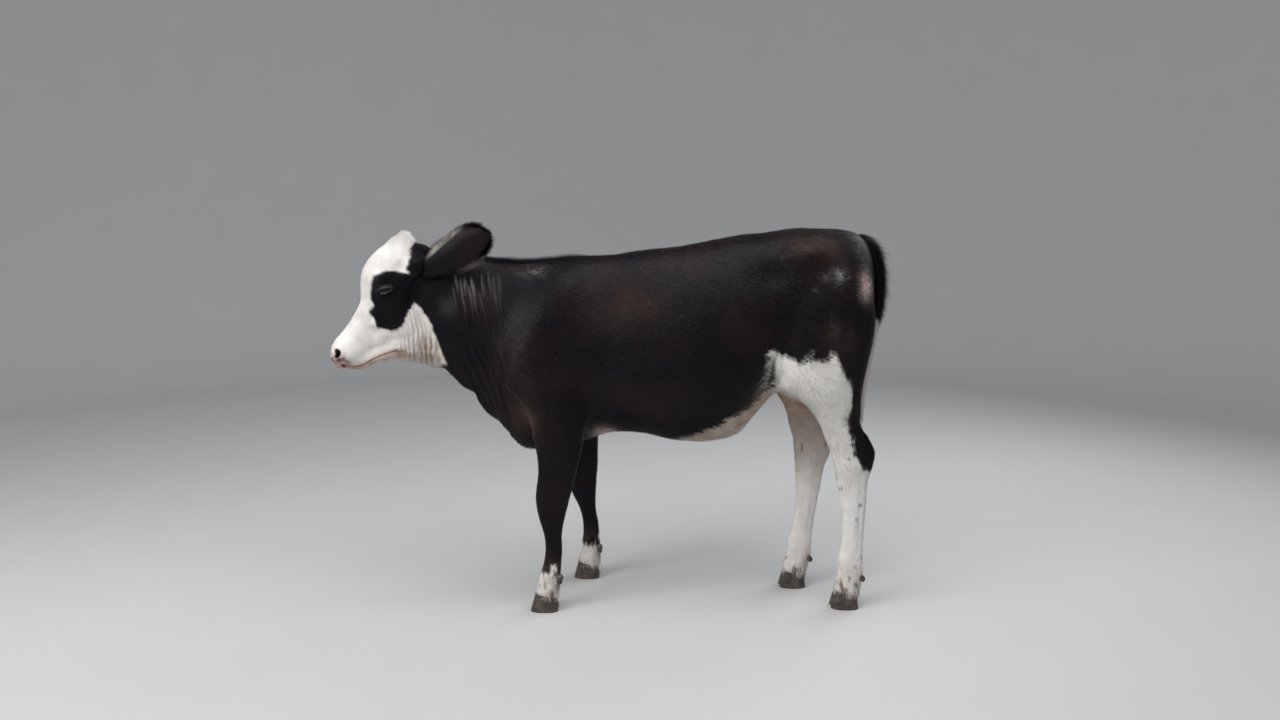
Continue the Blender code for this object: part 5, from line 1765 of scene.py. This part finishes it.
class Finish:
    """A Principled material under construction: adds nodes and joins their sockets."""

    def __init__(self, name, roughness, **sockets):
        self.material = bpy.data.materials.new(name)
        self.material.use_nodes = True
        self.tree = self.material.node_tree
        self.shader = self.tree.nodes["Principled BSDF"]
        self.shader.inputs["Roughness"].default_value = roughness
        for socket, value in sockets.items():
            self.shader.inputs[socket.replace("_", " ")].default_value = value
        self.place = self.tree.nodes.new("ShaderNodeTexCoord").outputs["Object"]

    def join(self, value, socket):
        """Links a node's output to a socket, or writes a plain value into it."""
        if isinstance(value, bpy.types.NodeSocket):
            self.tree.links.new(value, socket)
        elif isinstance(value, tuple) and len(value) == 3 and socket.type == "RGBA":
            socket.default_value = (*value, 1.0)
        else:
            socket.default_value = value

    def value(self, name):
        """A number stored at the piece's own points."""
        node = self.tree.nodes.new("ShaderNodeAttribute")
        node.attribute_name = name
        return node.outputs["Fac"]

    def noise(self, scale, detail=2.0, stretch=(1.0, 1.0, 1.0), turn=(0.0, 0.0, 0.0)):
        """Noise from 0 to 1 over the piece's own space, stretched by a scale for each axis."""
        mapping = self.tree.nodes.new("ShaderNodeMapping")
        self.join(self.place, mapping.inputs["Vector"])
        mapping.inputs["Scale"].default_value = stretch
        mapping.inputs["Rotation"].default_value = turn
        node = self.tree.nodes.new("ShaderNodeTexNoise")
        self.join(mapping.outputs["Vector"], node.inputs["Vector"])
        node.inputs["Scale"].default_value = scale
        node.inputs["Detail"].default_value = detail
        return node.outputs["Fac"]

    def span(self, value, low, high, to_low=0.0, to_high=1.0):
        """A value's range from low to high turned into another range, held at its ends."""
        node = self.tree.nodes.new("ShaderNodeMapRange")
        self.join(value, node.inputs["Value"])
        sockets = ("From Min", "From Max", "To Min", "To Max")
        for socket, number in zip(sockets, (low, high, to_low, to_high)):
            node.inputs[socket].default_value = number
        return node.outputs["Result"]

    def times(self, a, b):
        """The product of two numbers."""
        return self.combine("MULTIPLY", a, b)

    def combine(self, word, a, b):
        """Two numbers combined by a plain operation."""
        node = self.tree.nodes.new("ShaderNodeMath")
        node.operation = word
        self.join(a, node.inputs[0])
        self.join(b, node.inputs[1])
        return node.outputs["Value"]

    def blend(self, share, a, b):
        """Colour a, turning into colour b as the share goes from 0 to 1."""
        node = self.tree.nodes.new("ShaderNodeMix")
        node.data_type = "RGBA"
        self.join(share, node.inputs["Factor"])
        self.join(a, node.inputs[MIX_A])
        self.join(b, node.inputs[MIX_B])
        return node.outputs[MIX_RESULT]

    def end(self, colour=None, roughness=None, height=None, strength=0.3, reach=0.001):
        """Joins colour, roughness and a bump to the shader and hands the material over."""
        if colour is not None:
            self.join(colour, self.shader.inputs["Base Color"])
        if roughness is not None:
            self.join(roughness, self.shader.inputs["Roughness"])
        if height is not None:
            node = self.tree.nodes.new("ShaderNodeBump")
            node.inputs["Strength"].default_value = strength
            node.inputs["Distance"].default_value = reach
            self.join(height, node.inputs["Height"])
            self.join(node.outputs["Normal"], self.shader.inputs["Normal"])
        return self.material


def coat_finish():
    """Short glossy hair: near-black with a brown cast, white with stains, tan, bare skin, nose."""
    f = Finish("coat", 0.45, Specular_IOR_Level=0.10)
    shade = f.value("shade")
    wide = f.noise(5.0, 3.0)
    fine = f.noise(60.0, 2.0, (0.35, 1.0, 1.0), (0.0, 0.35, 0.0))
    black = f.blend(f.span(wide, 0.44, 0.70), (0.0052, 0.0046, 0.0068), (0.015, 0.0090, 0.0094))
    black = f.blend(f.span(shade, 0.45, 1.0, 0.0, 0.40), black, (0.030, 0.020, 0.020))
    soft = f.noise(26.0, 3.0)
    white = f.blend(f.span(soft, 0.40, 0.75), (0.88, 0.86, 0.84), (0.75, 0.71, 0.66))
    white = f.blend(f.span(shade, 0.0, 0.6, 0.18, 0.0), white, (0.46, 0.41, 0.36))
    tan = f.blend(f.span(fine, 0.35, 0.7), (0.46, 0.32, 0.225), (0.27, 0.17, 0.11))
    bare = f.blend(f.span(f.noise(90.0, 2.0), 0.4, 0.7), (0.66, 0.52, 0.50), (0.42, 0.30, 0.28))
    spots = f.span(f.noise(62.0, 2.0), 0.50, 0.57)
    nose = f.blend(f.times(spots, 0.88), (0.40, 0.255, 0.235), (0.050, 0.038, 0.040))
    colour = f.blend(f.value("white"), black, white)
    colour = f.blend(f.times(f.value("tan"), 0.85), colour, tan)
    colour = f.blend(f.value("bare"), colour, bare)
    colour = f.blend(f.value("nose"), colour, nose)
    rough = f.span(f.value("white"), 0.0, 1.0, 0.36, 0.68)
    rough = f.combine("SUBTRACT", rough, f.times(f.value("nose"), 0.18))
    height = f.noise(420.0, 2.0, (0.25, 1.0, 1.0), (0.0, 0.35, 0.0))
    return f.end(colour, rough, height, 0.35, 0.0012)


def horn_finish():
    """Hoof horn: dark, faintly ringed, dull, with patches of dried mud."""
    f = Finish("hoof_horn", 0.55, Specular_IOR_Level=0.40)
    rings = f.noise(34.0, 2.0, (1.0, 1.0, 6.0))
    horn = f.blend(f.span(rings, 0.35, 0.68), (0.034, 0.029, 0.027), (0.078, 0.062, 0.050))
    mud = f.span(f.noise(38.0, 4.0), 0.47, 0.60)
    colour = f.blend(f.times(mud, 0.7), horn, (0.135, 0.108, 0.082))
    rough = f.span(mud, 0.0, 1.0, 0.48, 0.85)
    height = f.combine("ADD", rings, f.times(f.noise(160.0, 3.0), 0.6))
    return f.end(colour, rough, height, 0.3, 0.0010)


def eye_finish():
    """A dark brown iris with a long pupil whose bluish grey is a painted reflection, a narrow dusky
    white, all under a wet clear coat.
    """
    f = Finish("eye", 0.08, Coat_Weight=1.0, Coat_Roughness=0.03, Specular_IOR_Level=0.6)
    gaze, pupil = f.value("gaze"), f.value("pupil")
    rays = f.noise(240.0, 2.0)
    iris = f.blend(rays, (0.016, 0.008, 0.005), (0.040, 0.020, 0.011))
    # the pupil's bluish grey is a painted reflection of the sky
    colour = f.blend(f.span(pupil, 0.30, 0.36), (0.034, 0.042, 0.060), iris)
    colour = f.blend(f.span(gaze, 0.64, 0.72), colour, (0.050, 0.028, 0.020))
    colour = f.blend(f.span(gaze, 0.78, 0.95), colour, (0.26, 0.19, 0.17))
    return f.end(colour, f.span(rays, 0.3, 0.7, 0.05, 0.10))


def floor_finish():
    """Pale, even studio floor with the faintest mottle."""
    f = Finish("floor", 0.85)
    colour = f.blend(f.noise(3.0, 2.0), (0.60, 0.60, 0.59), (0.63, 0.63, 0.62))
    return f.end(colour)


# ---------------------------------------------------------------- studio

TARGET = (0.0, 0.0, 0.8)  # what the lamps aim at
# name, place, size, power, colour
LAMPS = (("overhead", (0.3, -0.9, 3.4), 2.6, 68.0, (1.0, 0.98, 0.95)),
         ("front", (-3.0, -2.3, 2.4), 2.2, 84.0, (1.0, 0.98, 0.96)),
         ("behind", (2.6, 1.8, 2.6), 1.8, 34.0, (0.92, 0.96, 1.0)))
SKY, SKY_STRENGTH = (0.86, 0.90, 1.0), 0.36
LENS = (27.0, 36.0)  # focal length and sensor width, in millimetres
VIEW_PLACE, VIEW_TILT = (0.09, -3.06, 1.17), 7.3  # the camera, and its degrees down


def make_floor(material):
    """A round floor that curves up into a wall.

    Its profile, carried once round the middle, is a level line, a quarter circle and an
    upright line.
    """
    sides = 96
    bend = np.linspace(0.0, math.pi / 2, 20)
    flat, radius, top = 5.2, 1.5, 4.2
    out = np.concatenate([[0.5, 2.0, 3.6], flat + radius * np.sin(bend), [flat + radius]])
    height = np.concatenate([[0.0, 0.0, 0.0], radius * (1 - np.cos(bend)), [top]])
    turn = np.linspace(0.0, 2 * math.pi, sides, endpoint=False)[None]
    ring = np.stack(np.broadcast_arrays(out[:, None] * np.cos(turn), out[:, None] * np.sin(turn),
                                        height[:, None]), -1)
    points = np.concatenate([ring.reshape(-1, 3), [[0.0, 0.0, 0.0]]])
    walls = wall_faces(len(out), sides)[:, [0, 3, 2, 1]]
    j = np.arange(sides)
    middle = np.stack([np.full(sides, len(points) - 1), j, (j + 1) % sides], -1)
    mesh = bpy.data.meshes.new("floor")
    mesh.from_pydata(points.tolist(), [], walls.tolist() + middle.tolist())
    mesh.shade_smooth()
    mesh.materials.append(material)
    floor = bpy.data.objects.new("floor", mesh)
    bpy.context.scene.collection.objects.link(floor)


def make_lamp(name, place, size, power, colour):
    """A broad square lamp at a place, aimed at the animal's middle."""
    lamp = bpy.data.lights.new(name, "AREA")
    lamp.size = size
    lamp.energy = power
    lamp.color = colour
    obj = bpy.data.objects.new(name, lamp)
    obj.location = place
    obj.rotation_euler = (Vector(TARGET) - Vector(place)).to_track_quat("-Z", "Y").to_euler()
    bpy.context.scene.collection.objects.link(obj)


def make_studio(materials):
    """Floor, soft light from above, in front and behind, and the camera at the left flank."""
    make_floor(materials["floor"])
    world = bpy.data.worlds.new("studio")
    world.use_nodes = True
    sky = world.node_tree.nodes["Background"]
    sky.inputs["Color"].default_value = (*SKY, 1.0)
    sky.inputs["Strength"].default_value = SKY_STRENGTH
    bpy.context.scene.world = world
    for lamp in LAMPS:
        make_lamp(*lamp)
    camera = bpy.data.cameras.new("camera")
    camera.lens, camera.sensor_width = LENS
    view = bpy.data.objects.new("camera", camera)
    view.location = VIEW_PLACE
    view.rotation_euler = (math.radians(90.0 - VIEW_TILT), 0.0, 0.0)
    bpy.context.scene.collection.objects.link(view)
    bpy.context.scene.camera = view
    bpy.context.scene.view_settings.view_transform = "Standard"


# ---------------------------------------------------------------- the animal, put together


def dress_skin(skin, materials):
    """Stores the markings at the skin's own points and gives it the coat's material."""
    parts = tones(*markings(mesh_points(skin.data), mesh_normals(skin.data)))
    put_values(skin.data, **parts, shade=0.45)
    skin.data.materials.append(materials["coat"])


def main():
    """Loads the solids, makes the studio, and puts skin, coat, eyes and claws in their place."""
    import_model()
    materials = {"coat": coat_finish(), "horn": horn_finish(), "eye": eye_finish(),
                 "floor": floor_finish()}
    make_studio(materials)

    skin = make_skin()
    dress_skin(skin, materials)
    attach(skin, "root")
    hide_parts("trunk", "neck", "head", "leg_front_left", "leg_front_right",
                "leg_hind_left", "leg_hind_right")
    for piece in make_coat(skin, materials):
        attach(piece, "root")

    for side in LEFTWARD:
        ear, hair = make_ear(side, materials)
        eye = make_eye(side, materials)
        for piece in (ear, hair, eye):
            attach(piece, "root")
        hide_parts(f"ear_{side}")
        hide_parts(f"eye_{side}")
    lashes = make_lashes(materials)
    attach(lashes, "root")

    tail, hair, switch = make_tail(materials)
    for piece in (tail, hair, switch):
        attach(piece, "root")
    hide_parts("tail")
    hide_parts("tail_switch")
    for horn, node in make_feet(materials):
        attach(horn, "root")
        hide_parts(node)

    for obj in [o for o in bpy.context.scene.objects if o.type == "MESH"]:
        obj.data.update()


main()
